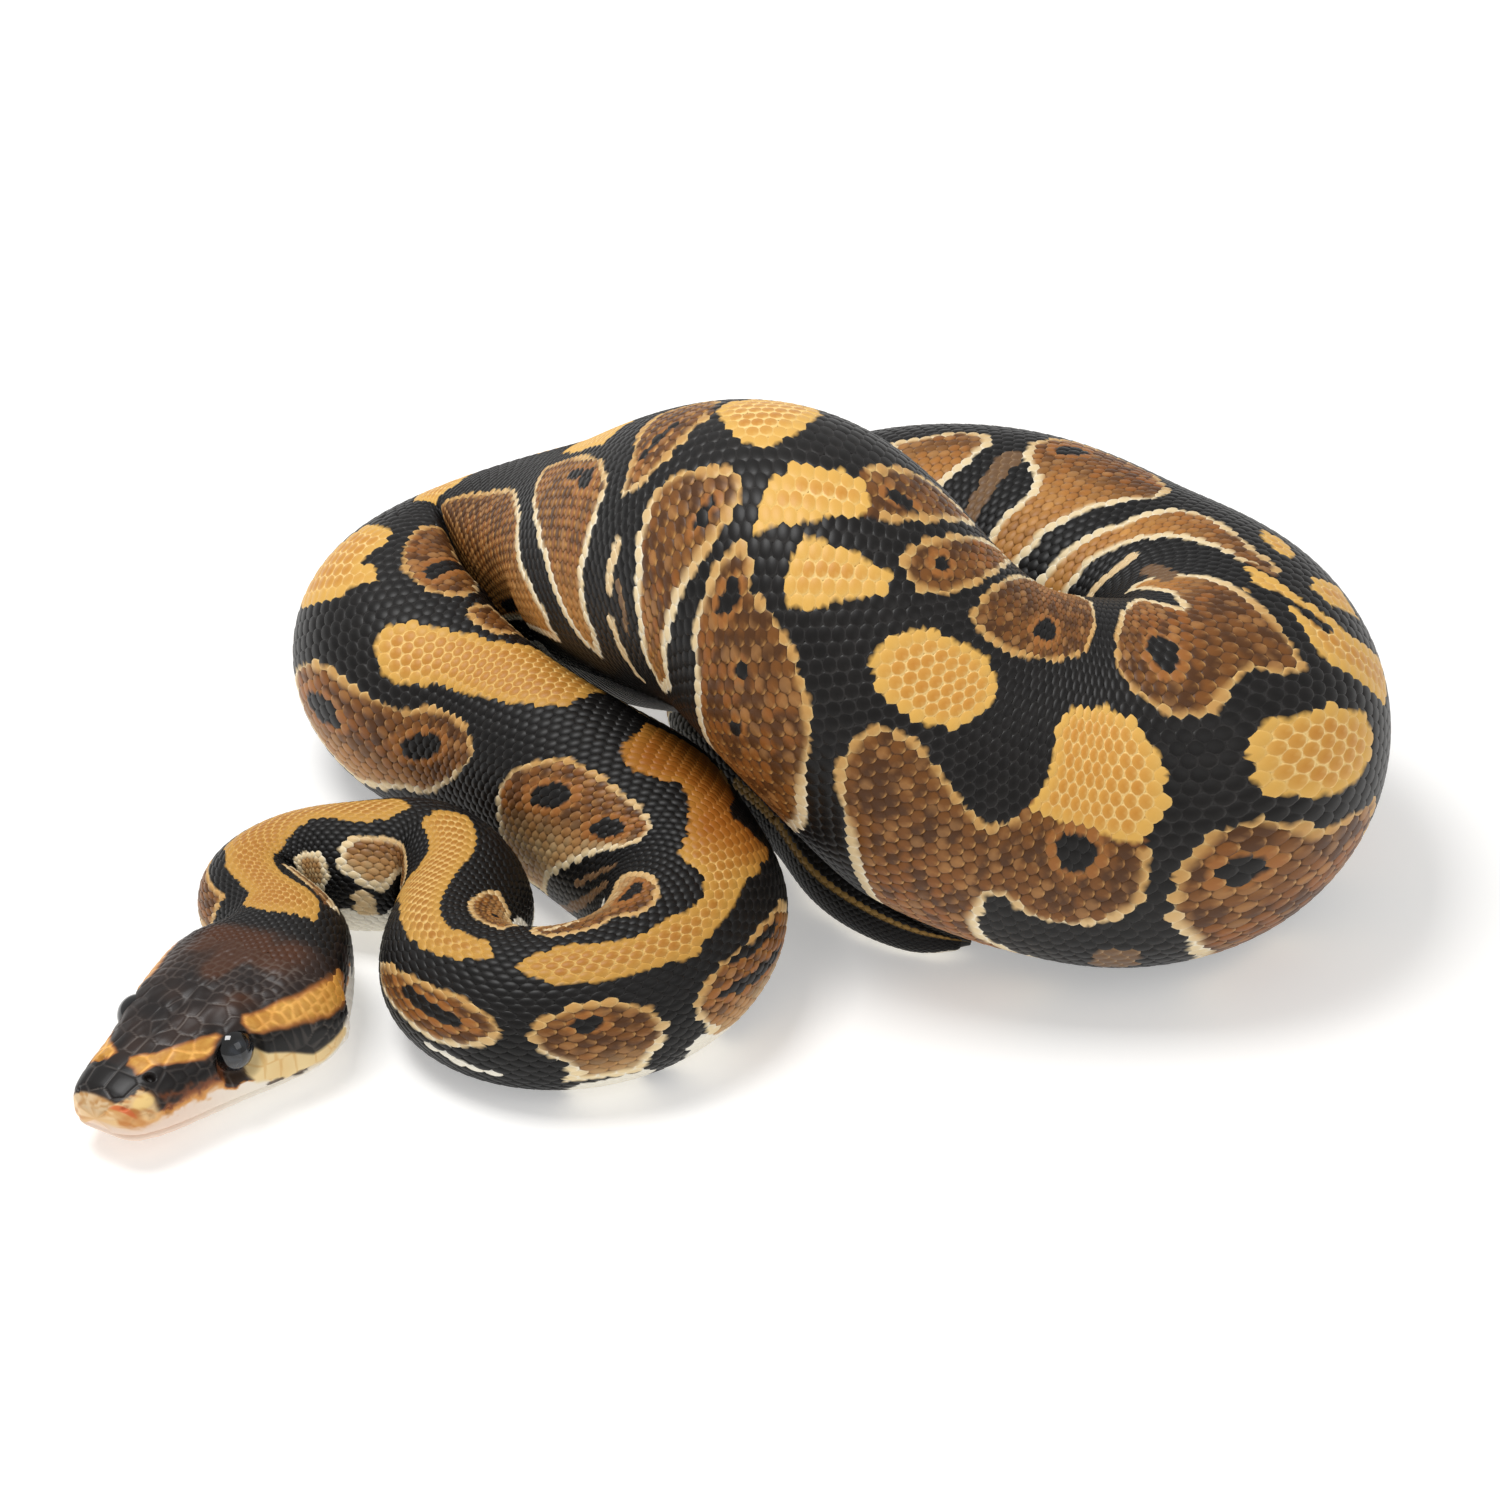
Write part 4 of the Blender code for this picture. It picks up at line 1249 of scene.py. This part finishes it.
# ---- head markings, on one side: (mm behind the snout, degrees from the crown) ----
CANTHAL_STRIPE = ((6.0, 32), (6.2, 27), (6.8, 5), (8.1, -2), (9.2, 12), (10.4, 27), (12.6, 37),
                  (15.1, 46), (17.6, 52), (17.8, 57), (16.4, 60), (15.4, 65), (13.9, 66), (12.6, 62),
                  (11.0, 55), (9.5, 47), (8.5, 40), (6.5, 37))
POSTOCULAR_GOLD = ((20.9, 58), (22, 54), (23, 57), (27.3, 60), (30, 64), (34, 67), (37.3, 70),
                   (38, 80), (36.8, 86), (35.7, 89), (33, 87), (29.8, 82), (27.3, 79), (24, 74), (21, 70))
POSTOCULAR_BLACK = ((20.5, 70), (24, 74), (29.8, 82), (33, 87), (35.7, 89), (38.2, 67), (39.5, 66),
                    (38.6, 84), (36.4, 96), (34.5, 101), (29.2, 102), (25, 92), (21.7, 85))
LOREAL_BLACK = ((5.2, 40), (6.5, 40), (9.5, 48), (12.6, 63), (15.4, 66), (17.6, 57), (19, 80), (17, 84),
                (12, 83), (7.5, 76), (5.4, 60))
LABIAL_CREAM = ((18.4, 87), (18.9, 98), (20.1, 106), (25, 112), (31, 112), (35, 108), (35, 100), (30, 100),
                (26.7, 94), (22.9, 86), (20.1, 83))
# Dark spots on the lip: distance, angle, half-length in mm, half-width in degrees.
LIP_MARKS = ((23.0, 111.5, 1.4, 2.4), (27.0, 112.5, 1.6, 2.4), (17.9, 93, 1.5, 8.0))
# Angle where the lip starts and where it has turned to the pale chin, by distance.
LIP_START = ((0, 4, 14, 16, 20, 30, 34, 40, 44), (66, 84, 84, 98, 104, 108, 100, 84, 92))
LIP_END = ((0, 8, 15, 30, 40), (102, 103, 106, 114, 96))
# The head's markings are measured as if its radius were this, in mm.
HEAD_MARK_RADIUS = 10.0
# Ahead of the eyes the markings are set off from the crown's middle by half of this, in degrees.
FAR_SIDE_LEAN = 27.0
# Up to here the body's scales take the colours of the head.
NAPE_END = 40.8

# ---- colours of the head, sRGB 0-255 ----
CROWN_TONES = ((26, 21, 20), (54, 38, 31))
RUST = (80, 46, 27)
NAPE_BLACK = (22, 20, 19)
CHIN_FRONT = (238, 214, 196)
THROAT = (240, 232, 218)
LIP_TONES = ((126, 70, 38), (216, 152, 82))
ROSTRAL_TONES = ((204, 134, 70), (244, 206, 150))
SQUARE_TONES = ((190, 128, 58), (246, 210, 134))
SADDLE_BLACK = (24, 21, 20)
TIP_TONES = ((216, 162, 100), (248, 214, 166))
PIT_RED = (210, 92, 48)
LOREAL_RIM = (122, 66, 34)
LOREAL_TONE = (24, 20, 19)
CREAM_TONES = ((242, 218, 164), (226, 180, 110))
POSTOCULAR_TONE = (20, 18, 17)
STRIPE_TONES = ((218, 166, 80), (184, 120, 46))
STRIPE_RIM = (150, 92, 46)
LIP_MARK_TONE = (66, 52, 42)
PLATE_LINE = (112, 104, 98)
CREAM_LINE_TINT = (0.94, 0.86, 0.74)
NOSE_TONE = (230, 186, 128)


class HeadPlaces:
    """Places on the head, with the noises that its colours are mixed by."""

    def __init__(self, distances, degrees):
        lean = FAR_SIDE_LEAN * step(24.0, 19.0, distances)
        self.distances = distances
        self.degrees = degrees
        self.turned = np.abs(degrees + lean * 0.5) - lean * 0.5
        self.grain = value_noise(distances * 2.6, degrees * 0.33, SEED + 21)
        self.cloud = value_noise(distances / 3.4, degrees / 17.0, SEED + 22)
        self.rough = value_noise(distances / 1.3, degrees / 7.0, SEED + 24)
        self.rust = step(0.30, 0.62, value_noise(distances / 4.6, degrees / 24.0, SEED + 23))
        wide = head_width(distances)
        across = wide * np.sin(np.radians(degrees))
        upward = wide * np.cos(np.radians(degrees)) + distances
        self.blotch = value_noise(across / 0.8, upward / 0.8, SEED + 25)

    def depth_in(self, outline):
        """How far inside an outline each place is, in mm."""
        return inside_by(outline, self.distances, self.turned, HEAD_MARK_RADIUS)

    def away_from(self, s, angle, long, wide):
        """0 in the middle of an oval and 1 at its edge."""
        return ((self.distances - s) / long) ** 2 + ((self.turned - angle) / wide) ** 2


# In the functions below, at is a HeadPlaces, its distances are in mm and turned in degrees.
def crown_tones(at):
    """The dark crown, with rust behind the eyes and black on the nape."""
    tone = mix(*CROWN_TONES, 0.9 * at.cloud)
    behind = window(at.distances, 18.0, 26.0, 35.0, 38.5) * step(62.0, 40.0, at.turned)
    tone = mix(tone, RUST, behind * at.rust * 0.85)
    return mix(tone, NAPE_BLACK, step(36.2, 38.4, at.distances) * step(66.0, 58.0, at.turned))


def add_lip(tone, at):
    """The orange lip, which pales towards the chin."""
    start = np.interp(at.distances, *LIP_START)
    finish = np.interp(at.distances, *LIP_END)
    lip = (at.turned - start + 9.0 * (at.rough - 0.5)) / np.maximum(finish - start, 6.0)
    lip = lip * (1.0 + 1.6 * step(12.0, 18.0, at.distances))
    chin = mix(CHIN_FRONT, THROAT, step(6.0, 22.0, at.distances))
    face = mix(*LIP_TONES, step(0.05, 0.45, lip + 0.3 * (at.grain - 0.5)))
    face = mix(face, chin, step(0.5, 0.95, lip + 0.25 * (at.grain - 0.5)))
    return mix(tone, face, step(-0.12, 0.12, lip))


def add_snout(tone, at):
    """The mottled front, its gold squares, the black saddle, the pale tip and the red pit."""
    speckled = step(0.2, 0.8, at.blotch)
    rostral = step(5.8, 4.4, at.distances) * window(at.turned, 44.0, 50.0, 86.0, 106.0)
    tone = mix(tone, mix(*ROSTRAL_TONES, step(0.15, 0.75, at.blotch)), rostral * 0.9)
    square = step(1.4, 0.5, at.away_from(3.7, 67.0, 1.5, 9.0))
    tone = mix(tone, mix(*SQUARE_TONES, speckled), square * 0.8)
    saddle = step(55.0, 47.0, at.turned + 7.0 * (at.grain - 0.5))
    tone = mix(tone, SADDLE_BLACK, saddle * window(at.distances, 1.2, 1.9, 5.8, 6.6))
    tip = step(1.5, 1.0, at.distances) * step(80.0, 70.0, at.turned)
    tone = mix(tone, mix(*TIP_TONES, speckled), tip * 0.85)
    along = (at.degrees - 54.0) / 32.0
    pit = ((at.distances - 1.0 - along) / 0.42) ** 2 + ((along - 0.3) / 0.6) ** 2
    return mix(tone, PIT_RED, step(1.4, 0.3, pit) * (0.55 + 0.35 * at.blotch))


def add_face(tone, at, cream):
    """Black before and behind the eye, and the cream lip under it."""
    loreal = at.depth_in(LOREAL_BLACK) + 1.3 * (at.rough - 0.5) + 0.9 * (at.grain - 0.5)
    rim = step(-2.0, -0.2, loreal) * step(64.0, 74.0, at.turned)
    tone = mix(tone, LOREAL_RIM, rim * 0.8)
    tone = mix(tone, LOREAL_TONE, step(-0.5, 1.0, loreal))
    tone = mix(tone, mix(*CREAM_TONES, 0.5 * at.cloud), step(-0.4, 0.3, cream))
    return mix(tone, POSTOCULAR_TONE, step(-0.3, 0.2, at.depth_in(POSTOCULAR_BLACK)))


def add_stripes(tone, at):
    """The gold stripes; also returns how golden each place is."""
    golden = np.zeros(at.distances.shape)
    gold = mix(*STRIPE_TONES, 0.5 * at.grain + 0.4 * at.cloud)
    for outline in (CANTHAL_STRIPE, POSTOCULAR_GOLD):
        depth = at.depth_in(outline) + 0.35 * (at.rough - 0.5)
        stripe = mix(STRIPE_RIM, gold, step(0.0, 0.7, depth))
        tone = mix(tone, stripe, step(-0.3, 0.15, depth))
        golden = np.maximum(golden, step(0.0, 0.4, depth))
    return tone, golden


def head_tones(distances, degrees, edges):
    """Colours of the head at each place, with the lines between its plates."""
    at = HeadPlaces(distances, degrees)
    cream = at.depth_in(LABIAL_CREAM)
    tone = add_snout(add_lip(crown_tones(at), at), at)
    tone, golden = add_stripes(add_face(tone, at, cream), at)
    for mark in LIP_MARKS:
        tone = mix(tone, LIP_MARK_TONE, step(1.2, 0.8, at.away_from(*mark)) * 0.8)
    dark = step(72.0, 44.0, tone.mean(axis=-1))
    line = step(0.17, 0.04, edges)
    tone = mix(tone, PLATE_LINE, line * dark * (0.12 + 0.65 * at.cloud))
    tone = mix(tone, tone * 1.10 + 26.0, step(0.30, 0.06, edges) * golden * 0.8)
    return tinted(tone, CREAM_LINE_TINT, line * step(-0.2, 0.6, cream) * 0.8)


# ---- shape of the head ----
def head_relief(distances, degrees, vertical, edges):
    """How far the skin is pushed in, in mm, at each place of the head."""
    around = np.abs(degrees)
    groove = PLATE_GROOVE * np.exp(-(edges / PLATE_HALF) ** 2)
    groove = groove * (1.0 - 0.75 * step(84.0, 96.0, around))
    folds = value_noise(distances / 3.2, degrees / 15.0, SEED + 30) - 0.5
    folds = folds + 0.25 * (value_noise(distances / 1.7, degrees / 8.0, SEED + 31) - 0.5)
    crown = step(9.0, 14.0, distances) * step(66.0, 50.0, around)
    dome = 0.05 * step(0.0, 1.1, edges) + 0.55 * folds * crown - 0.15 * crown
    off_mouth = vertical - mouth_height(distances)
    lips = step(MOUTH_CORNER + 1.0, MOUTH_CORNER - 1.0, distances) * (around > 60.0)
    hollow = MOUTH_DEPTH * np.exp(-(off_mouth / MOUTH_HALF) ** 2) * lips
    for side in (-1.0, 1.0):
        for s, angle, scale, deep, outer, inner in HEAD_PITS:
            away = np.hypot(distances - s, (degrees - side * angle) * scale)
            hollow = np.maximum(hollow, deep * step(outer, inner, away))
    return groove - dome + hollow + RELIEF_BASE


def eye_setting(spine, origin, side):
    """Middle of an eye and the directions outward, upward and ahead of it."""
    centre, tangent, dorsal, left = spine.frames(np.array([EYE_BACK]))
    middle = centre[0] - origin + left[0] * side * EYE_SIDE + dorsal[0] * EYE_UP
    axis = left[0] * side * cos(EYE_FORWARD) - tangent[0] * sin(EYE_FORWARD)
    ahead = -tangent[0] * cos(EYE_FORWARD) - left[0] * side * sin(EYE_FORWARD)
    return middle, axis, dorsal[0], ahead


def orbit(points, spine, origin):
    """Draws the skin in round each eye, so that the eye sits in its socket."""
    for side in (-1.0, 1.0):
        eye, axis, _, _ = eye_setting(spine, origin, side)
        offset = points - eye
        out = offset @ axis
        away = np.linalg.norm(offset - out[:, None] * axis, axis=1)
        target = RIM_DEPTH - SOCKET_DEPTH * step(RIM_INNER, RIM_INNER - 0.5, away)
        share = step(RIM_OUTER, RIM_INNER + 0.1, away) * (out > -2.0)
        points = points - axis * (np.maximum(out - target, 0.0) * share)[:, None]
    return points


# ---- skin ----
HEAD_STEP = 0.22
HEAD_COLUMNS = 330
BODY_COLUMNS = 66
BODY_STEP = 1.6
# Where the head's colours give way to the body's, its plates end and its skin sinks.
COLOUR_FADE = (33.5, 35.5)
RELIEF_FADE = (38.5, 35.5)
SKIN_SINK = (33.0, 38.5)
# The ring that the closing point of the snout is set off from, and by what share.
NOSE_RING = 8
NOSE_SHARE = 0.25
# The body's skin ends this far before the last of the hide.
SKIN_END_MARGIN = 0.6
# Where the body is thinner than this, the skin lies less deep.
THIN_BODY = 6.0


def head_rings():
    """Distances of the head's rings, closer at the tip of the snout."""
    fine = np.arange(0.0, 2.0, HEAD_STEP * 0.5)
    return np.concatenate([fine, np.arange(2.0, HEAD_END, HEAD_STEP)])


def ring_places(rings, columns):
    """Distance and angle of every point of the rings."""
    turns = np.linspace(-180.0, 180.0, columns, endpoint=False)
    s, angle = np.meshgrid(rings, turns, indexing="ij")
    return s.ravel(), angle.ravel()


def ring_normals(grid, rings):
    """Outward directions at the points of the rings."""
    lengthwise = np.gradient(grid, rings, axis=0)
    crosswise = np.roll(grid, -1, axis=1) - np.roll(grid, 1, axis=1)
    normal = unit(np.cross(crosswise, lengthwise))
    outward = np.sum(normal * (grid - grid.mean(axis=1, keepdims=True)), axis=2).mean()
    return (normal * (1.0 if outward >= 0.0 else -1.0)).reshape(-1, 3)


def head_skin(hide, coat, spine, origin):
    """The head with its plates: points, colours, distances, angles and the closing point."""
    rings = head_rings()
    s, angle = ring_places(rings, HEAD_COLUMNS)
    grid = surface(spine, rings, np.radians(angle[:HEAD_COLUMNS])) - origin
    points = grid.reshape(-1, 3)
    centre, _, dorsal, _ = spine.frames(s)
    vertical = np.sum((points + origin - centre) * dorsal, axis=1)
    edges = plate_edges(points, *head_seeds(hide))
    tones = head_tones(s, angle, edges)
    body_centre, body_rim, _ = coat.read(s, angle)
    tones = mix(tones, mix(body_centre, body_rim, 0.4), step(*COLOUR_FADE, s))
    depth = head_relief(s, angle, vertical, edges) * step(*RELIEF_FADE, s)
    depth = depth + HEAD_SKIN_DEPTH + (SKIN_DEPTH - HEAD_SKIN_DEPTH) * step(*SKIN_SINK, s)
    points = points - ring_normals(grid, rings) * depth[:, None]
    points = orbit(points, spine, origin)
    nose = points[:HEAD_COLUMNS].mean(axis=0)
    nose = nose + (nose - grid[NOSE_RING].mean(axis=0)) * NOSE_SHARE
    return points, tones, s, angle, nose


def body_skin(hide, coat):
    """The skin under the scales: points, colours, distances and angles."""
    end = hide.last - SKIN_END_MARGIN
    rings = np.concatenate([np.arange(HEAD_END, end, BODY_STEP), [end]])
    s, angle = ring_places(rings, BODY_COLUMNS)
    points = hide.place(s, angle, SKIN_DEPTH * np.minimum(1.0, hide.radius(s) / THIN_BODY))
    above_floor(points, SKIN_FLOOR)
    _, rim, tail = coat.read(s, angle)
    return points, mix(rim, tail, 0.5), s, angle


def seam_faces(fine, coarse):
    """Triangles between the last ring of the head and the wider-spaced first of the body."""
    ratio = len(fine) // len(coarse)
    here = np.repeat(coarse, ratio)
    ahead = np.roll(fine, -1)
    steps = np.stack([ahead, here, np.roll(here, -1)], axis=1)[ratio - 1::ratio]
    return np.concatenate([np.stack([fine, here, ahead], axis=1), steps])


def skin(hide, coat, spine, origin, material):
    """One closed skin under all the scales, with the head's plates modelled in it."""
    head, head_colours, head_s, head_a, nose = head_skin(hide, coat, spine, origin)
    body, body_colours, body_s, body_a = body_skin(hide, coat)
    points = np.concatenate([head, body, [nose, body[-BODY_COLUMNS:].mean(axis=0)]])
    tones = np.concatenate([head_colours, body_colours, [NOSE_TONE], body_colours[-1:]])
    s = np.concatenate([head_s, body_s, [0.0, hide.last]])
    angle = np.concatenate([head_a, body_a, [0.0, 0.0]])
    head_ring = np.arange(HEAD_COLUMNS)
    body_ring = np.arange(BODY_COLUMNS)
    nose_index = len(points) - 2
    triangles = np.concatenate([
        tube_faces(len(head) // HEAD_COLUMNS, HEAD_COLUMNS),
        tube_faces(len(body) // BODY_COLUMNS, BODY_COLUMNS, len(head)),
        seam_faces(len(head) - HEAD_COLUMNS + head_ring, len(head) + body_ring),
        fan_faces(nose_index, head_ring),
        fan_faces(nose_index + 1, nose_index - BODY_COLUMNS + body_ring)[:, ::-1],
    ])
    corner_a = angle[triangles]
    wraps = np.ptp(corner_a, axis=1) > 180.0
    corner_a = np.where(wraps[:, None] & (corner_a < -90.0), corner_a + 360.0, corner_a)
    flat = unwrap(s[triangles].ravel(), corner_a.ravel(), hide.last)
    piece = build_mesh("skin", points, triangles, tones, flat, material)
    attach(piece, "root")
    return piece


# ---- eyes ----
EYE_RINGS = 40
EYE_TURNS = 64
EYE_DARK = (10, 10, 11)
PUPIL_TONE = (12, 12, 13)
IRIS_TONES = ((24, 26, 30), (46, 50, 56))
# Half-width and half-height of the pupil, in mm.
PUPIL_SLIT = (0.42, 1.9)
# Where the iris darkens towards its edge, in mm from the middle.
IRIS_EDGE = (2.1, 2.6)
IRIS_RAYS = 9.0
# Share of the radius behind which the ball is plain and dark.
EYE_FACE = 0.25
EYE_UNWRAP = 0.15


def eye_piece(name, side, spine, origin, material):
    """A glossy eyeball with a grey iris and an upright slit of a pupil."""
    middle, axis, up, ahead = eye_setting(spine, origin, side)
    polar = np.repeat(pi * np.arange(1, EYE_RINGS) / EYE_RINGS, EYE_TURNS)
    azimuth = np.tile(2.0 * pi * np.arange(EYE_TURNS) / EYE_TURNS, EYE_RINGS - 1)
    x = np.sin(polar) * np.cos(azimuth) * EYE_RADIUS
    y = np.sin(polar) * np.sin(azimuth) * EYE_RADIUS
    z = np.cos(polar) * EYE_RADIUS
    poles = [(0.0, 0.0, EYE_RADIUS), (0.0, 0.0, -EYE_RADIUS)]
    local = np.concatenate([poles[:1], np.stack([x, y, z], axis=1), poles[1:]])
    points = middle + local @ np.array([ahead, up, axis])
    slit = (x / PUPIL_SLIT[0]) ** 2 + (y / PUPIL_SLIT[1]) ** 2
    iris = mix(*IRIS_TONES, 0.5 + 0.4 * np.sin(azimuth * IRIS_RAYS))
    dark = np.where(slit > 1.0, step(*IRIS_EDGE, np.hypot(x, y)), 1.0)
    tones = mix(iris, PUPIL_TONE, dark)
    tones[z < EYE_FACE * EYE_RADIUS] = EYE_DARK
    tones = np.concatenate([[EYE_DARK], tones, [EYE_DARK]])
    last = len(points) - 1
    ring = np.arange(EYE_TURNS)
    triangles = np.concatenate([
        fan_faces(0, 1 + ring),
        tube_faces(EYE_RINGS - 1, EYE_TURNS, 1),
        fan_faces(last, last - EYE_TURNS + ring)[:, ::-1],
    ])
    if side > 0.0:
        triangles = triangles[:, ::-1]
    flat = 0.5 + local[:, :2] * EYE_UNWRAP
    piece = build_mesh(name, points, triangles, tones, flat[triangles.ravel()], material)
    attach(piece, "root")
    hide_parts(name.replace("_ball", ""))
    return piece


# ---- studio, in m ----
FLOOR_HALF = 4.0
FLOOR_DROP = 0.0001
WORLD_LIGHT = 0.5
LAMP_AIM = (0.0, 0.0, 0.02)
# Name, place, power in W and size of each lamp.
LAMPS = (
    ("key", (-0.30, 0.05, 0.80), 4.6, 0.35),
    ("fill", (0.45, -0.45, 0.6), 0.9, 0.5),
)
CAMERA_DISTANCE = 0.700
CAMERA_ELEVATION = radians(32.0)
CAMERA_AIM_HEIGHT = 0.025
CAMERA_LENS = 117.6
CAMERA_SENSOR = 36.0


def aim(item, place, target):
    """Puts a lamp or the camera in its place and turns it to its target."""
    item.location = place
    item.rotation_euler = (Vector(target) - Vector(place)).to_track_quat("-Z", "Y").to_euler()
    bpy.context.scene.collection.objects.link(item)


def lamp(name, place, power, size):
    """A square area lamp."""
    light = bpy.data.lights.new(name, "AREA")
    light.energy = power
    light.size = size
    aim(bpy.data.objects.new(name, light), place, LAMP_AIM)


def studio():
    """White floor, even white surroundings and two broad lamps."""
    data = bpy.data.meshes.new("floor")
    corners = [(x * FLOOR_HALF, y * FLOOR_HALF, 0.0) for x, y in ((-1, -1), (1, -1), (1, 1), (-1, 1))]
    data.from_pydata(corners, [], [(0, 1, 2, 3)])
    floor = bpy.data.objects.new("floor", data)
    floor.location = (0.0, 0.0, -FLOOR_DROP)
    data.materials.append(floor_material())
    bpy.context.scene.collection.objects.link(floor)
    world = bpy.data.worlds.new("studio")
    world.use_nodes = True
    background = world.node_tree.nodes["Background"]
    background.inputs["Color"].default_value = WHITE
    background.inputs["Strength"].default_value = WORLD_LIGHT
    bpy.context.scene.world = world
    for name, place, power, size in LAMPS:
        lamp(name, place, power, size)
    bpy.context.scene.view_settings.view_transform = "Standard"


def camera(origin):
    """The camera that sees the coil as the photo does."""
    look = Vector((-origin[0] * MM, -origin[1] * MM, CAMERA_AIM_HEIGHT))
    data = bpy.data.cameras.new("camera")
    data.lens = CAMERA_LENS
    data.sensor_width = CAMERA_SENSOR
    item = bpy.data.objects.new("camera", data)
    towards = Vector((0.0, -cos(CAMERA_ELEVATION), sin(CAMERA_ELEVATION)))
    aim(item, look + towards * CAMERA_DISTANCE, look)
    bpy.context.scene.camera = item


def main():
    """Builds every piece, the studio and the camera."""
    spine = Spine()
    origin = bottom_centre(spine)
    hide = Hide(spine, origin)
    coat = Coat(hide)
    scale_skin = tone_material("scales", *SCALE_SURFACE)
    hide_skin = tone_material("hide", *HIDE_SURFACE)
    eye_glass = tone_material("eye_glass", *EYE_SURFACE)
    whole = skin(hide, coat, spine, origin, hide_skin)
    flesh = [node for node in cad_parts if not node.startswith("eye")]
    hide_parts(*flesh)
    for piece in scale_pieces(hide, coat, scale_skin, hide.last):
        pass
    belly_scutes(hide, scale_skin, hide.last)
    for name, side in (("eye_left_ball", 1.0), ("eye_right_ball", -1.0)):
        eye_piece(name, side, spine, origin, eye_glass)
    studio()
    camera(origin)


main()
